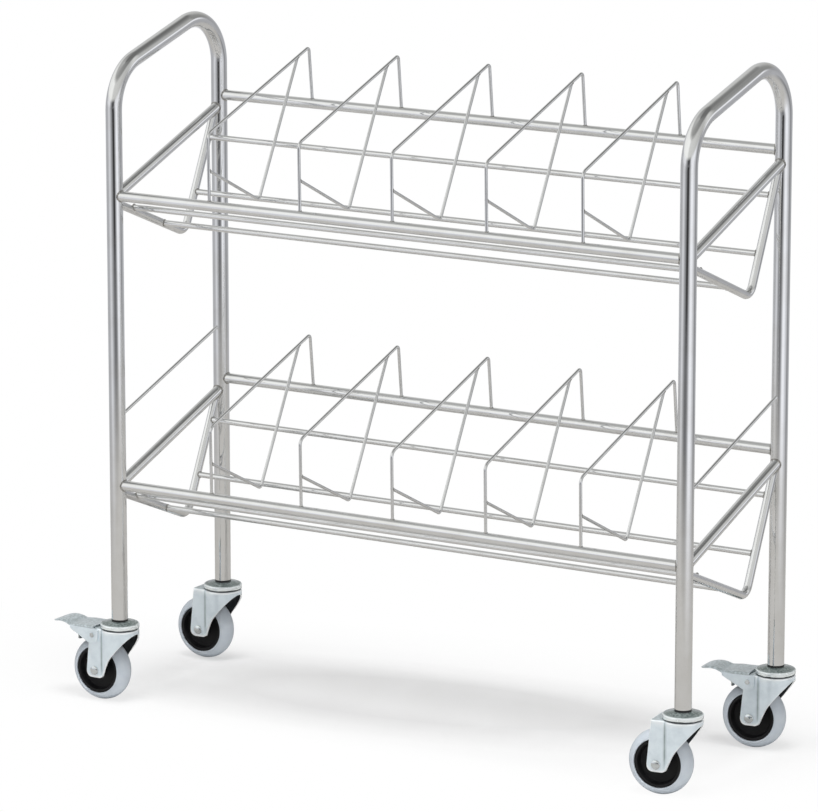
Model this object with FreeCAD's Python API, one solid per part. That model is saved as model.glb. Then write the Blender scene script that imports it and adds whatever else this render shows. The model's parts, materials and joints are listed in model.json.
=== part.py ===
"""Two-tier medical chart rack on swivel casters, as an assembly of separate pieces.

Frame: +X to the right along the rails, +Y to the back, +Z up.  The origin lies on the
floor at the centre of the four legs.  All sizes are millimetres and degrees.
"""
import FreeCAD
import Part
import math
import os

# ---------------------------------------------------------------- overall frame
leg_span_x = 994.0          # between the leg axes of the two end frames
leg_span_y = 291.0          # between the front and rear leg axes
leg_bottom_z = 133.0        # open lower end of the legs
lower_tier_z = 346.0        # axis of the lower front rail
tier_pitch = 453.0          # from the lower tier to the upper tier
handle_front_rise = 188.5   # front handle corner above the upper front rail
handle_rear_rise = 267.0    # rear handle corner above the upper front rail
handle_bend_radius = 76.0   # centre line of both handle bends

# ---------------------------------------------------------------- tubes and wires
leg_radius = 12.7
leg_wall = 1.5
rail_radius = 8.0
rail_wall = 1.2
cradle_radius = 6.35
cradle_wall = 1.2
rod_radius = 4.5
rod_wall = 1.0
wire_radius = 2.4
guard_radius = 2.5
weld_gap = 0.05             # between a coped tube end and the tube it is welded to
rod_saddle = 2.0            # reach of a rod's end over the cradle's inner face

# ---------------------------------------------------------------- side section of a tier
# Heights are above the tier's front rail axis; depths are along +Y from the centre.
rear_rail_rise = 116.5
side_tube_front_rise = -2.0
side_tube_rear_rise = 101.0
cradle_front_drop = 10.5
cradle_corner_depth = 45.0
cradle_corner_drop = 87.0
cradle_rear_rise = 123.0    # where the steep run would meet the rear leg axis
cradle_bend_radius = 19.0
ramp_rod_depth = -100.0
ramp_rod_lift = 4.2         # above the cradle's centre line
corner_rod_depth = -18.0
corner_rod_lift = 0.0
low_back_rod_rise = -27.0
mid_back_rod_rise = 54.0
guard_front_rise = 104.0
guard_rear_rise = 204.0

# ---------------------------------------------------------------- wire dividers
dividers_per_tier = 5
divider_pitch = 162.0
divider_tip_depth = 135.5
divider_tip_rise = 206.0
divider_tip_bend = 5.0
divider_front_depth = -148.0
divider_front_rise = 110.5
divider_front_bend = 12.0
stay_top_depth = 103.0
stay_corner_depth = -8.5
stay_corner_drop = 11.5
stay_corner_bend = 6.0
stay_front_rise = 55.0

# ---------------------------------------------------------------- swivel casters
left_caster_yaw = 0.0       # stored swivel angle of the two left casters
right_caster_yaw = 7.0      # stored swivel angle of the two right casters
wheel_radius = 50.0
caster_trail = 33.0         # from the swivel axis back to the wheel axle
tread_radius = 18.0         # round section of the tyre
hub_radius = 37.0
hub_rim_depth = 4.5
hub_half_width = 15.5
hub_web_half = 5.0
hub_boss_radius = 11.0
boss_side_gap = 0.3         # from the hub boss to each fork cheek
bond_gap = 0.05             # between the tyre and the hub
axle_radius = 4.0
axle_head_radius = 7.5
axle_head_height = 3.4
nut_across_flats = 13.0
nut_height = 5.0
thread_overrun = 2.5
running_gap = 0.05          # radial clearance of every pin in its hole

fork_half_width = 23.0      # to the outside of a cheek
fork_sheet = 2.5
fork_top_z = 118.0
fork_top_round = 2.0
crown_radius = 30.0
fork_tail = 41.0            # trailing top corner, from the swivel axis
cheek_end_half = 14.5       # half width of a cheek at the axle
cheek_end_drop = 11.0       # cheek below the axle
cheek_end_round = 9.0
skirt_front_drop = 7.5      # height of the skirt at the very front
cheek_knee_back = 3.0       # knee of the leading edge, behind the swivel axis
cheek_knee_z = 70.5

head_radius = 30.3
head_sheet = 2.4
head_skirt_gap = 1.2        # open gap between the fork's crown and the head's rim
head_rim_height = 7.0
head_flat_radius = 14.0
insert_flange = 3.2
king_pin_radius = 6.0
rivet_radius = 10.0
rivet_height = 3.0
stem_radius = 5.5
stem_length = 32.0
insert_length = 27.0
ball_radius = 2.4
ball_ring_radius = 20.0
balls_per_head = 8
ball_gap = 0.05

# ---------------------------------------------------------------- brake pedals
brake_pivot_back = 35.5     # pin axis behind the swivel axis
brake_pivot_z = 107.0
brake_pin_radius = 2.5
brake_pin_head_radius = 4.0
brake_pin_head_height = 1.6
pedal_sheet = 2.0
pedal_side_gap = 0.3        # from the fork's cheek to the pedal's side plate
pedal_web_z = 121.0         # top of the pedal over the fork
pedal_side_front = 25.0
pedal_side_rear = 77.0
pedal_side_drop = 26.0
pedal_tip_back = 117.0
pedal_tip_z = 117.5
pedal_crest_back = 97.0
pedal_crest_z = 124.0
pedal_tip_round = 14.0
shoe_back = 60.0
brake_travel = 9.0          # pedal angle from free to locked
brake_lock_gap = 0.35       # from the shoe to the tyre when locked

# ---------------------------------------------------------------- derived places
half_x = leg_span_x / 2
half_y = leg_span_y / 2
tiers = {"lower": lower_tier_z, "upper": lower_tier_z + tier_pitch}
sides = {"left": -half_x, "right": half_x}
tube_bore = leg_radius - leg_wall
head_base_z = fork_top_z + head_skirt_gap
head_ceiling_z = fork_top_z + 2 * (ball_radius + ball_gap)
head_top_z = leg_bottom_z - insert_flange
pedal_inner = fork_half_width + pedal_side_gap
pedal_outer = pedal_inner + pedal_sheet
X_AXIS = FreeCAD.Vector(1, 0, 0)
Y_AXIS = FreeCAD.Vector(0, 1, 0)
Z_AXIS = FreeCAD.Vector(0, 0, 1)


# ================================================================ helpers
def vec(x, y, z):
    return FreeCAD.Vector(x, y, z)


def between(start, end, share):
    """The value a given share of the way from start to end."""
    return start + (end - start) * share


def corner_arc(before, corner, after, radius):
    """The tangent arc that rounds a corner, with its two end points."""
    back = (before - corner).normalize()
    ahead = (after - corner).normalize()
    half_angle = back.getAngle(ahead) / 2
    reach = radius / math.tan(half_angle)
    start = corner + back * reach
    end = corner + ahead * reach
    inward = (back + ahead).normalize()
    middle = corner + inward * (radius / math.sin(half_angle) - radius)
    return start, end, Part.Arc(start, middle, end).toShape()


def bent_path(points, radii):
    """An open wire of straight runs, with one tangent arc at each inner point."""
    edges = []
    here = points[0]
    for index, radius in enumerate(radii, start=1):
        start, end, arc = corner_arc(points[index - 1], points[index], points[index + 1], radius)
        edges.append(Part.LineSegment(here, start).toShape())
        edges.append(arc)
        here = end
    edges.append(Part.LineSegment(here, points[-1]).toShape())
    return Part.Wire(edges)


def rounded_face(points, radii):
    """A flat face whose outline has the given points, each rounded by its radius."""
    count = len(points)
    corners = []
    for index in range(count):
        before = points[index - 1]
        corner = points[index]
        after = points[(index + 1) % count]
        if radii[index] > 0:
            corners.append(corner_arc(before, corner, after, radii[index]))
        else:
            corners.append((corner, corner, None))
    edges = []
    for index in range(count):
        start, end, arc = corners[index]
        if arc is not None:
            edges.append(arc)
        ahead = corners[(index + 1) % count][0]
        if end.distanceToPoint(ahead) > 1e-6:
            edges.append(Part.LineSegment(end, ahead).toShape())
    return Part.Face(Part.Wire(edges))


def sweep_round(path, radius):
    """A round bar along a path."""
    first = path.OrderedEdges[0]
    start = first.valueAt(first.FirstParameter)
    direction = first.tangentAt(first.FirstParameter)
    if start.distanceToPoint(path.OrderedVertexes[0].Point) > 1e-6:
        start = first.valueAt(first.LastParameter)
        direction = first.tangentAt(first.LastParameter)
    disc = Part.Wire([Part.makeCircle(radius, start, direction)])
    return path.makePipeShell([disc], True, False)


def tube(path, radius, wall):
    """A round tube along a path, with open ends."""
    return sweep_round(path, radius).cut(sweep_round(path, radius - wall))


def bar(start, end, radius):
    """A straight round bar between two points."""
    run = end - start
    return Part.makeCylinder(radius, run.Length, start, run)


def straight_tube(start, end, radius, wall):
    return bar(start, end, radius).cut(bar(start, end, radius - wall))


def largest(shape):
    """The biggest solid of a shape, as left when its ends are coped."""
    return max(shape.Solids, key=lambda solid: solid.Volume)


def revolve_y(points, centre):
    """Turn a closed (radius, y) outline about an axis along Y through centre."""
    corners = [centre + vec(0, y, radius) for radius, y in points]
    face = Part.Face(Part.makePolygon(corners + [corners[0]]))
    return face.revolve(centre, Y_AXIS, 360)


def revolve_z(points):
    """Turn a closed (radius, z) outline about the Z axis."""
    corners = [vec(radius, 0, z) for radius, z in points]
    face = Part.Face(Part.makePolygon(corners + [corners[0]]))
    return face.revolve(vec(0, 0, 0), Z_AXIS, 360)


def save(node, shape):
    """Write one node; a shape of one solid is written as that solid."""
    if len(shape.Solids) == 1:
        shape = shape.Solids[0]
    shape.exportStep("parts/" + node + ".step")


# ================================================================ end frames
def handle_corners():
    top = tiers["upper"]
    return vec(0, -half_y, top + handle_front_rise), vec(0, half_y, top + handle_rear_rise)


def end_frame(x):
    """One tube: front leg, sloping push handle and rear leg."""
    front, rear = handle_corners()
    shift = vec(x, 0, 0)
    points = [vec(x, -half_y, leg_bottom_z), front + shift, rear + shift, vec(x, half_y, leg_bottom_z)]
    return tube(bent_path(points, [handle_bend_radius] * 2), leg_radius, leg_wall)


def leg_cutter(x, y):
    """The space that a leg takes from a tube end that is coped against it."""
    low = vec(x, y, leg_bottom_z)
    high = vec(x, y, tiers["upper"] + cradle_rear_rise + leg_radius)
    return bar(low, high, leg_radius + weld_gap)


# ================================================================ tier members
def rail(y, z):
    """A straight rail along X, coped against the two legs at its ends."""
    body = straight_tube(vec(-half_x, y, z), vec(half_x, y, z), rail_radius, rail_wall)
    for x in sides.values():
        body = body.cut(leg_cutter(x, y))
    return largest(body)


def side_tube_ends(x, tier):
    return vec(x, -half_y, tier + side_tube_front_rise), vec(x, half_y, tier + side_tube_rear_rise)


def side_tube(x, tier):
    """The sloping tube from the front leg up to the rear leg."""
    front, rear = side_tube_ends(x, tier)
    body = straight_tube(front, rear, rail_radius, rail_wall)
    for y in (-half_y, half_y):
        body = body.cut(leg_cutter(x, y))
    return largest(body)


def cradle_path(x, tier):
    points = [
        vec(x, -half_y, tier - cradle_front_drop),
        vec(x, cradle_corner_depth, tier - cradle_corner_drop),
        vec(x, half_y, tier + cradle_rear_rise),
    ]
    return bent_path(points, [cradle_bend_radius])


def cradle(x, tier):
    """The V-shaped bracket under a side tube, coped against both legs and the side tube."""
    body = tube(cradle_path(x, tier), cradle_radius, cradle_wall)
    for y in (-half_y, half_y):
        body = body.cut(leg_cutter(x, y))
    front, rear = side_tube_ends(x, tier)
    return largest(body.cut(bar(front, rear, rail_radius + weld_gap)))


def ramp_rise(depth):
    """Height of the cradle's front run above the front rail axis at a depth."""
    share = (depth + half_y) / (cradle_corner_depth + half_y)
    return between(-cradle_front_drop, -cradle_corner_drop, share)


def steep_depth(rise):
    """Depth of the cradle's rear run at a height above the front rail axis."""
    share = (rise + cradle_corner_drop) / (cradle_rear_rise + cradle_corner_drop)
    return between(cradle_corner_depth, half_y, share)


def rod_places():
    """Name, depth and height of the four rods of a tier."""
    return {
        "ramp_rod": (ramp_rod_depth, ramp_rise(ramp_rod_depth) + ramp_rod_lift),
        "corner_rod": (corner_rod_depth, ramp_rise(corner_rod_depth) + corner_rod_lift),
        "low_back_rod": (steep_depth(low_back_rod_rise), low_back_rod_rise),
        "mid_back_rod": (steep_depth(mid_back_rod_rise), mid_back_rod_rise),
    }


def rod(depth, rise, tier):
    """A long rod whose ends are coped against the two cradle brackets."""
    z = tier + rise
    end = half_x - cradle_radius + rod_saddle
    body = straight_tube(vec(-end, depth, z), vec(end, depth, z), rod_radius, rod_wall)
    for x in sides.values():
        body = body.cut(sweep_round(cradle_path(x, tier), cradle_radius + weld_gap))
    return largest(body)


def guard_wire(x):
    """The thin sloping wire above the lower tier at one end."""
    front = vec(x, -half_y, tiers["lower"] + guard_front_rise)
    rear = vec(x, half_y, tiers["lower"] + guard_rear_rise)
    body = bar(front, rear, guard_radius)
    for y in (-half_y, half_y):
        body = body.cut(leg_cutter(x, y))
    return largest(body)


# ================================================================ wire dividers
def hoop_path(x, tier):
    """Rear rail, tip, front bend and front rail, in one plane."""
    points = [
        vec(x, half_y, tier + rear_rail_rise),
        vec(x, divider_tip_depth, tier + divider_tip_rise),
        vec(x, divider_front_depth, tier + divider_front_rise),
        vec(x, -half_y, tier),
    ]
    return bent_path(points, [divider_tip_bend, divider_front_bend])


def stay_path(x, tier):
    """From under the hoop's slant down to the low corner and up to the hoop's front run."""
    slant_share = (stay_top_depth - divider_front_depth) / (divider_tip_depth - divider_front_depth)
    front_share = stay_front_rise / divider_front_rise
    points = [
        vec(x, stay_top_depth, tier + between(divider_front_rise, divider_tip_rise, slant_share)),
        vec(x, stay_corner_depth, tier - stay_corner_drop),
        vec(x, between(-half_y, divider_front_depth, front_share), tier + stay_front_rise),
    ]
    return bent_path(points, [stay_corner_bend])


def divider(x, tier):
    """A hoop that stands on the two rails, and the stay that is welded inside it."""
    path = hoop_path(x, tier)
    hoop = sweep_round(path, wire_radius)
    for y, rise in ((-half_y, 0), (half_y, rear_rail_rise)):
        z = tier + rise
        rail_space = bar(vec(-half_x, y, z), vec(half_x, y, z), rail_radius + weld_gap)
        hoop = hoop.cut(rail_space)
    stay = sweep_round(stay_path(x, tier), wire_radius).cut(sweep_round(path, wire_radius + weld_gap))
    return Part.makeCompound([largest(hoop), largest(stay)])


def divider_places():
    """X of each divider, spread evenly about the centre."""
    middle = (dividers_per_tier - 1) / 2
    return [(index - middle) * divider_pitch for index in range(dividers_per_tier)]


# ================================================================ casters
# A caster is built about its swivel axis, on the floor: +X trails towards the wheel
# and +Y is the side of the axle's head.  place_caster turns it and sets it under a leg.
def axle_centre():
    return vec(caster_trail, 0, wheel_radius)


def tyre():
    """A ring with a round tread, seated on the hub."""
    middle_radius = wheel_radius - tread_radius
    seat = hub_radius + bond_gap
    half_seat = math.sqrt(tread_radius ** 2 - (seat - middle_radius) ** 2)
    centre = axle_centre()
    near = centre + vec(0, half_seat, seat)
    far = centre + vec(0, -half_seat, seat)
    tread = Part.Arc(near, centre + vec(0, 0, wheel_radius), far).toShape()
    inner = Part.LineSegment(far, near).toShape()
    return Part.Face(Part.Wire([tread, inner])).revolve(centre, Y_AXIS, 360)


def boss_half():
    return fork_half_width - fork_sheet - boss_side_gap


def hub():
    """The wheel centre: rim, thin web and a boss that runs on the axle."""
    bore = axle_radius + running_gap
    rim = hub_radius - hub_rim_depth
    side = [
        (bore, boss_half()),
        (hub_boss_radius, boss_half()),
        (hub_boss_radius + 2, hub_web_half),
        (rim - 2, hub_web_half),
        (rim, hub_half_width),
        (hub_radius, hub_half_width),
    ]
    outline = side + [(radius, -y) for radius, y in reversed(side)]
    return revolve_y(outline, axle_centre())


def axle():
    """A bolt with a domed head at the near cheek, and its nut at the far cheek."""
    centre = axle_centre()
    face = fork_half_width + weld_gap
    end = face + nut_height + thread_overrun
    profile = [
        (0, -end),
        (axle_radius - 0.8, -end),
        (axle_radius, 0.8 - end),
        (axle_radius, face),
        (axle_head_radius, face),
        (axle_head_radius, face + 0.3 * axle_head_height),
        (0.75 * axle_head_radius, face + 0.8 * axle_head_height),
        (0.35 * axle_head_radius, face + axle_head_height),
        (0, face + axle_head_height),
    ]
    bolt = revolve_y(profile, centre)
    corner = nut_across_flats / math.sqrt(3)
    corners = []
    for step in range(7):
        angle = math.radians(60 * step)
        corners.append(centre + vec(corner * math.cos(angle), -face, corner * math.sin(angle)))
    prism = Part.Face(Part.makePolygon(corners)).extrude(vec(0, -nut_height, 0))
    bore = Part.makeCylinder(axle_radius + running_gap, 3 * nut_height, centre - vec(0, face - nut_height, 0),
                             -Y_AXIS)
    return Part.makeCompound([bolt, prism.cut(bore)])


def fork_block(half_width, radius, tail, low, high):
    """The fork's plan, straight sides that run into a round front, between two heights."""
    height = high - low
    front = Part.makeCylinder(radius, height, vec(0, 0, low), Z_AXIS)
    start = math.sqrt(radius ** 2 - half_width ** 2)
    disc_rear = Part.makeBox(2 * radius, 2 * radius, height, vec(start, -radius, low))
    straight = Part.makeBox(tail - start, 2 * half_width, height, vec(start, -half_width, low))
    return front.cut(disc_rear).fuse(straight).removeSplitter()


def fork_side_prism():
    """The fork's side outline, as a prism across the caster."""
    bottom = wheel_radius - cheek_end_drop
    points = [
        vec(fork_tail, 0, fork_top_z),
        vec(caster_trail + cheek_end_half, 0, wheel_radius),
        vec(caster_trail + cheek_end_half - 1, 0, bottom),
        vec(caster_trail - cheek_end_half + 1, 0, bottom),
        vec(cheek_knee_back, 0, cheek_knee_z),
        vec(-crown_radius, 0, fork_top_z - skirt_front_drop),
        vec(-crown_radius, 0, fork_top_z),
    ]
    radii = [0, 0, cheek_end_round, cheek_end_round, 60, 0, 0]
    face = rounded_face(points, radii)
    face.translate(vec(0, -2 * fork_half_width, 0))
    return face.extrude(vec(0, 4 * fork_half_width, 0))


def fork(brake):
    """The pressed fork: a crown under the head and two cheeks that hold the axle."""
    bottom = wheel_radius - cheek_end_drop
    outer = fork_block(fork_half_width, crown_radius, fork_tail + 10, bottom, fork_top_z)
    top_edges = []
    for edge in outer.Edges:
        level = min(vertex.Point.z for vertex in edge.Vertexes) > fork_top_z - 0.01
        rear = min(vertex.Point.x for vertex in edge.Vertexes) > fork_tail
        if level and not rear:
            top_edges.append(edge)
    outer = outer.makeFillet(fork_top_round, top_edges)
    inner = fork_block(fork_half_width - fork_sheet, crown_radius - fork_sheet, fork_tail + 20, bottom - 1,
                       fork_top_z - fork_sheet)
    body = outer.common(fork_side_prism()).cut(inner)
    body = body.cut(Part.makeCylinder(king_pin_radius + running_gap, 20, vec(0, 0, fork_top_z - 10), Z_AXIS))
    across = 4 * fork_half_width
    start = axle_centre() - vec(0, across / 2, 0)
    body = body.cut(Part.makeCylinder(axle_radius + running_gap, across, start, Y_AXIS))
    if brake:
        start = vec(brake_pivot_back, -across / 2, brake_pivot_z)
        body = body.cut(Part.makeCylinder(brake_pin_radius + running_gap, across, start, Y_AXIS))
    return largest(body)


def swivel_head():
    """The fixed upper race with its stem and the king pin that carries the fork."""
    rim_top = head_base_z + head_rim_height
    inner = head_radius - head_sheet
    rivet_top = fork_top_z - fork_sheet - ball_gap
    stem_top = head_top_z + stem_length
    profile = [
        (0, rivet_top - rivet_height),
        (rivet_radius - 2, rivet_top - rivet_height),
        (rivet_radius, rivet_top - 1),
        (rivet_radius, rivet_top),
        (king_pin_radius, rivet_top),
        (king_pin_radius, head_ceiling_z),
        (inner, head_ceiling_z),
        (inner, head_base_z),
        (head_radius, head_base_z),
        (head_radius, rim_top - 1.6),
        (head_radius - 1.6, rim_top),
        (head_flat_radius + 5, head_top_z - 1.4),
        (head_flat_radius, head_top_z - weld_gap),
        (stem_radius, head_top_z - weld_gap),
        (stem_radius, stem_top - 1),
        (stem_radius - 1, stem_top),
        (0, stem_top),
    ]
    return revolve_z(profile)


def leg_insert():
    """The plug in the open end of a leg, with a bore for the stem."""
    profile = [
        (stem_radius + running_gap, head_top_z),
        (leg_radius, head_top_z),
        (leg_radius, leg_bottom_z - weld_gap),
        (tube_bore - weld_gap, leg_bottom_z - weld_gap),
        (tube_bore - weld_gap, leg_bottom_z + insert_length - 1.5),
        (tube_bore - 1.5, leg_bottom_z + insert_length),
        (stem_radius + running_gap, leg_bottom_z + insert_length),
    ]
    return revolve_z(profile)


def bearing_balls():
    """The ring of balls between the head and the fork's crown."""
    height = fork_top_z + ball_radius + ball_gap
    balls = []
    for index in range(balls_per_head):
        angle = 2 * math.pi * index / balls_per_head
        centre = vec(ball_ring_radius * math.cos(angle), ball_ring_radius * math.sin(angle), height)
        balls.append(Part.makeSphere(ball_radius, centre))
    return Part.makeCompound(balls)


def pedal_top_face():
    """Side view of the pedal's top sheet: over the fork, then the curved foot tongue."""
    low = pedal_web_z - pedal_sheet
    start = vec(brake_pivot_back - 2, 0, low)
    shoulder = vec(shoe_back, 0, low)
    dip = vec(pedal_side_rear, 0, low - 1.5)
    crest = vec(pedal_crest_back, 0, pedal_crest_z - pedal_sheet)
    tip = vec(pedal_tip_back, 0, pedal_tip_z - pedal_sheet)
    rise = vec(0, 0, pedal_sheet)
    lower = [
        Part.LineSegment(start, shoulder).toShape(),
        Part.LineSegment(shoulder, dip).toShape(),
        Part.Arc(dip, crest, tip).toShape(),
    ]
    upper = [
        Part.LineSegment(tip, tip + rise).toShape(),
        Part.Arc(tip + rise, crest + rise, dip + rise).toShape(),
        Part.LineSegment(dip + rise, shoulder + rise).toShape(),
        Part.LineSegment(shoulder + rise, start + rise).toShape(),
        Part.LineSegment(start + rise, start).toShape(),
    ]
    return Part.Face(Part.Wire(lower + upper))


def shoe_bottom():
    """Height of the shoe's lower edge, which comes down to the tyre at full travel."""
    angle = math.radians(brake_travel)
    back = caster_trail - brake_pivot_back
    down = wheel_radius - brake_pivot_z
    wheel_back = brake_pivot_back + back * math.cos(angle) - down * math.sin(angle)
    wheel_z = brake_pivot_z + back * math.sin(angle) + down * math.cos(angle)
    reach = wheel_radius + brake_lock_gap
    return wheel_z + math.sqrt(reach ** 2 - (shoe_back - wheel_back) ** 2)


def brake_pedal():
    """A pressed lever: two side plates on the pin, a top sheet with a tongue, and a shoe."""
    top = pedal_top_face()
    top.translate(vec(0, -pedal_outer, 0))
    top = top.extrude(vec(0, 2 * pedal_outer, 0))
    plan_points = [
        vec(brake_pivot_back - 2, -pedal_outer, 0),
        vec(pedal_tip_back, -0.75 * pedal_outer, 0),
        vec(pedal_tip_back, 0.75 * pedal_outer, 0),
        vec(brake_pivot_back - 2, pedal_outer, 0),
    ]
    plan = rounded_face(plan_points, [0, pedal_tip_round, pedal_tip_round, 0])
    top = top.common(plan.extrude(vec(0, 0, 2 * pedal_web_z)))
    web_low = pedal_web_z - pedal_sheet
    side_points = [
        vec(pedal_side_front, 0, web_low + 0.5),
        vec(pedal_side_rear, 0, web_low - 1.0),
        vec(pedal_side_rear, 0, web_low - 6),
        vec(brake_pivot_back + 4, 0, web_low - pedal_side_drop),
        vec(pedal_side_front, 0, web_low - pedal_side_drop + 4),
    ]
    side = rounded_face(side_points, [2, 0, 3, 6, 6])
    pieces = []
    for low in (pedal_inner, -pedal_outer):
        plate = side.copy()
        plate.translate(vec(0, low, 0))
        pieces.append(plate.extrude(vec(0, pedal_sheet, 0)))
    shoe_corner = vec(shoe_back, -pedal_outer, shoe_bottom())
    shoe = Part.makeBox(pedal_sheet, 2 * pedal_outer, web_low + 0.5 - shoe_corner.z, shoe_corner)
    pieces.append(shoe)
    body = top.multiFuse(pieces).removeSplitter()
    bore = Part.makeCylinder(brake_pin_radius + running_gap, 4 * pedal_outer,
                             vec(brake_pivot_back, -2 * pedal_outer, brake_pivot_z), Y_AXIS)
    return largest(body.cut(bore))


def brake_pin():
    """The pin across the fork, with a flat head outside each side plate."""
    face = pedal_outer + running_gap
    end = face + brake_pin_head_height
    side = [
        (brake_pin_radius, face),
        (brake_pin_head_radius, face),
        (brake_pin_head_radius, end - 0.5),
        (brake_pin_head_radius - 0.5, end),
        (0, end),
    ]
    profile = side + [(radius, -y) for radius, y in reversed(side)]
    return revolve_y(profile, vec(brake_pivot_back, 0, brake_pivot_z))


caster_places = {
    "front_left": (-half_x, -half_y, left_caster_yaw, True),
    "rear_left": (-half_x, half_y, left_caster_yaw, False),
    "front_right": (half_x, -half_y, right_caster_yaw, False),
    "rear_right": (half_x, half_y, right_caster_yaw, True),
}


def place_caster(shape, corner):
    """Turn a caster piece so that it trails to the left, and move it under its leg."""
    x, y, yaw, _ = caster_places[corner]
    placed = shape.copy()
    placed.rotate(vec(0, 0, 0), Z_AXIS, 180 + yaw)
    placed.translate(vec(x, y, 0))
    return placed


# ================================================================ assembly
def build_frame():
    for side, x in sides.items():
        save(side + "_end_frame", end_frame(x))
        save(side + "_guard_wire", guard_wire(x))
    for level, tier in tiers.items():
        save(level + "_front_rail", rail(-half_y, tier))
        save(level + "_rear_rail", rail(half_y, tier + rear_rail_rise))
        for side, x in sides.items():
            save(level + "_" + side + "_side_tube", side_tube(x, tier))
            save(level + "_" + side + "_cradle", cradle(x, tier))
        for name, (depth, rise) in rod_places().items():
            save(level + "_" + name, rod(depth, rise, tier))
        for number, x in enumerate(divider_places(), start=1):
            save(level + "_divider_" + str(number), divider(x, tier))


def build_casters():
    wheel_pieces = {"tyre": tyre(), "hub": hub(), "axle": axle(), "swivel_head": swivel_head()}
    for corner, place in caster_places.items():
        for name, shape in wheel_pieces.items():
            save(corner + "_" + name, place_caster(shape, corner))
        brake = place[3]
        save(corner + "_fork", place_caster(fork(brake), corner))
        if brake:
            save(corner + "_brake_pedal", place_caster(brake_pedal(), corner))
            save(corner + "_brake_pin", place_caster(brake_pin(), corner))
    inserts = [place_caster(leg_insert(), corner) for corner in caster_places]
    save("leg_inserts", Part.makeCompound(inserts))
    balls = [place_caster(bearing_balls(), corner) for corner in caster_places]
    save("bearing_balls", Part.makeCompound(balls))


def main():
    os.makedirs("parts", exist_ok=True)
    build_frame()
    build_casters()


if __name__ == "__main__":
    main()
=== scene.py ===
"""Two-tier medical chart rack: chrome tube frame, wire dividers and swivel casters.

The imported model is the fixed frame.  Lengths in this file are millimetres in the frame's own
axes (+X along the rails, +Y to the back, +Z up) and become metres when a mesh is made.  A caster's
pieces are drawn about its swivel axis, with +X trailing towards the wheel and +Y along the axle.
"""

import json
import logging
import math
from dataclasses import dataclass, field
from enum import Enum
from typing import Sequence

import bmesh
import bpy
from mathutils import Matrix, Vector


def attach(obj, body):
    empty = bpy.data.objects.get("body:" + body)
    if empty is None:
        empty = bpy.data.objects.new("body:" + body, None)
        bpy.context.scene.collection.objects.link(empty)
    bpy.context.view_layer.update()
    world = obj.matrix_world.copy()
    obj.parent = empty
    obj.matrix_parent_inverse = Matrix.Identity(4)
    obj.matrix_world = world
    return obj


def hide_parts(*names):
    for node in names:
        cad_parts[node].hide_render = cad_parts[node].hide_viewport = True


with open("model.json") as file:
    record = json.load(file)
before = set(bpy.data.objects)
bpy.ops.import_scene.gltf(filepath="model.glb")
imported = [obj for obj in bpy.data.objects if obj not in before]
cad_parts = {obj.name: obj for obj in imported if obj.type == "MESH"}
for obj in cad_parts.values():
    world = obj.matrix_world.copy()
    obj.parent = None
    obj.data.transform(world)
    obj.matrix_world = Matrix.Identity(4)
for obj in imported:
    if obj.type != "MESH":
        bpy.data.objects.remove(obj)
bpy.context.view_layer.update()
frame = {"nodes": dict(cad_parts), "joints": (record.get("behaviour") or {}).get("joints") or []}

log = logging.getLogger("chart_rack")

MM = 0.001
TINY = 1e-9  # what counts as nothing in a division
X_AXIS = Vector((1, 0, 0))
Y_AXIS = Vector((0, 1, 0))
Z_AXIS = Vector((0, 0, 1))

Colour = tuple[float, float, float]
Pair = tuple[float, float]

PAINTED_LIGHT_LAYER = "touch"  # a mesh's own layer of painted light: 1 where a painted highlight goes, -1 where painted shade goes


class Side(Enum):
    """The two ends of the rack, with the sign of their X."""

    LEFT = -1
    RIGHT = 1


class Level(Enum):
    """The two tiers, with how many tier pitches each lies above the lower one."""

    LOWER = 0
    UPPER = 1


class Corner(Enum):
    """The four casters, with the name that their nodes and bodies carry."""

    FRONT_LEFT = "front_left"
    REAR_LEFT = "rear_left"
    FRONT_RIGHT = "front_right"
    REAR_RIGHT = "rear_right"


# ---------------------------------------------------------------- shader writing
class Signal:
    """One output socket of a node tree, used as a number in Python expressions."""

    def __init__(self, bench: "Bench", socket: bpy.types.NodeSocket) -> None:
        """Keep the socket and the bench that makes further nodes."""
        self.bench = bench
        self.socket = socket

    def _math(self, operation: str, first: "Signal | float", second: "Signal | float") -> "Signal":
        """Add one Math node.

        Args:
            operation: name of the Math operation.
            first: value or signal of the first socket.
            second: value or signal of the second socket.

        Returns:
            The node's result.
        """
        return self.bench.node("ShaderNodeMath", {"operation": operation}, {0: first, 1: second})

    def __add__(self, other: "Signal | float") -> "Signal":
        """Sum with a signal or number."""
        return self._math("ADD", self, other)

    def __radd__(self, other: float) -> "Signal":
        """Sum with a number on the left."""
        return self._math("ADD", other, self)

    def __sub__(self, other: "Signal | float") -> "Signal":
        """Difference with a signal or number."""
        return self._math("SUBTRACT", self, other)

    def __rsub__(self, other: float) -> "Signal":
        """A number less this signal."""
        return self._math("SUBTRACT", other, self)

    def __mul__(self, other: "Signal | float") -> "Signal":
        """Product with a signal or number."""
        return self._math("MULTIPLY", self, other)

    def __rmul__(self, other: float) -> "Signal":
        """Product with a number on the left."""
        return self._math("MULTIPLY", other, self)

    def __truediv__(self, other: "Signal | float") -> "Signal":
        """Quotient with a signal or number."""
        return self._math("DIVIDE", self, other)

    def __rtruediv__(self, other: float) -> "Signal":
        """A number divided by this signal."""
        return self._math("DIVIDE", other, self)

    def at_most(self, other: "Signal | float") -> "Signal":
        """The lesser of the two."""
        return self._math("MINIMUM", self, other)

    def at_least(self, other: "Signal | float") -> "Signal":
        """The greater of the two."""
        return self._math("MAXIMUM", self, other)


Feed = Signal | float | Sequence[float]

MIX_COLOURS = (6, 7)  # the two colour inputs of a Mix node
MIX_RESULT = 2  # its colour output


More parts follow.
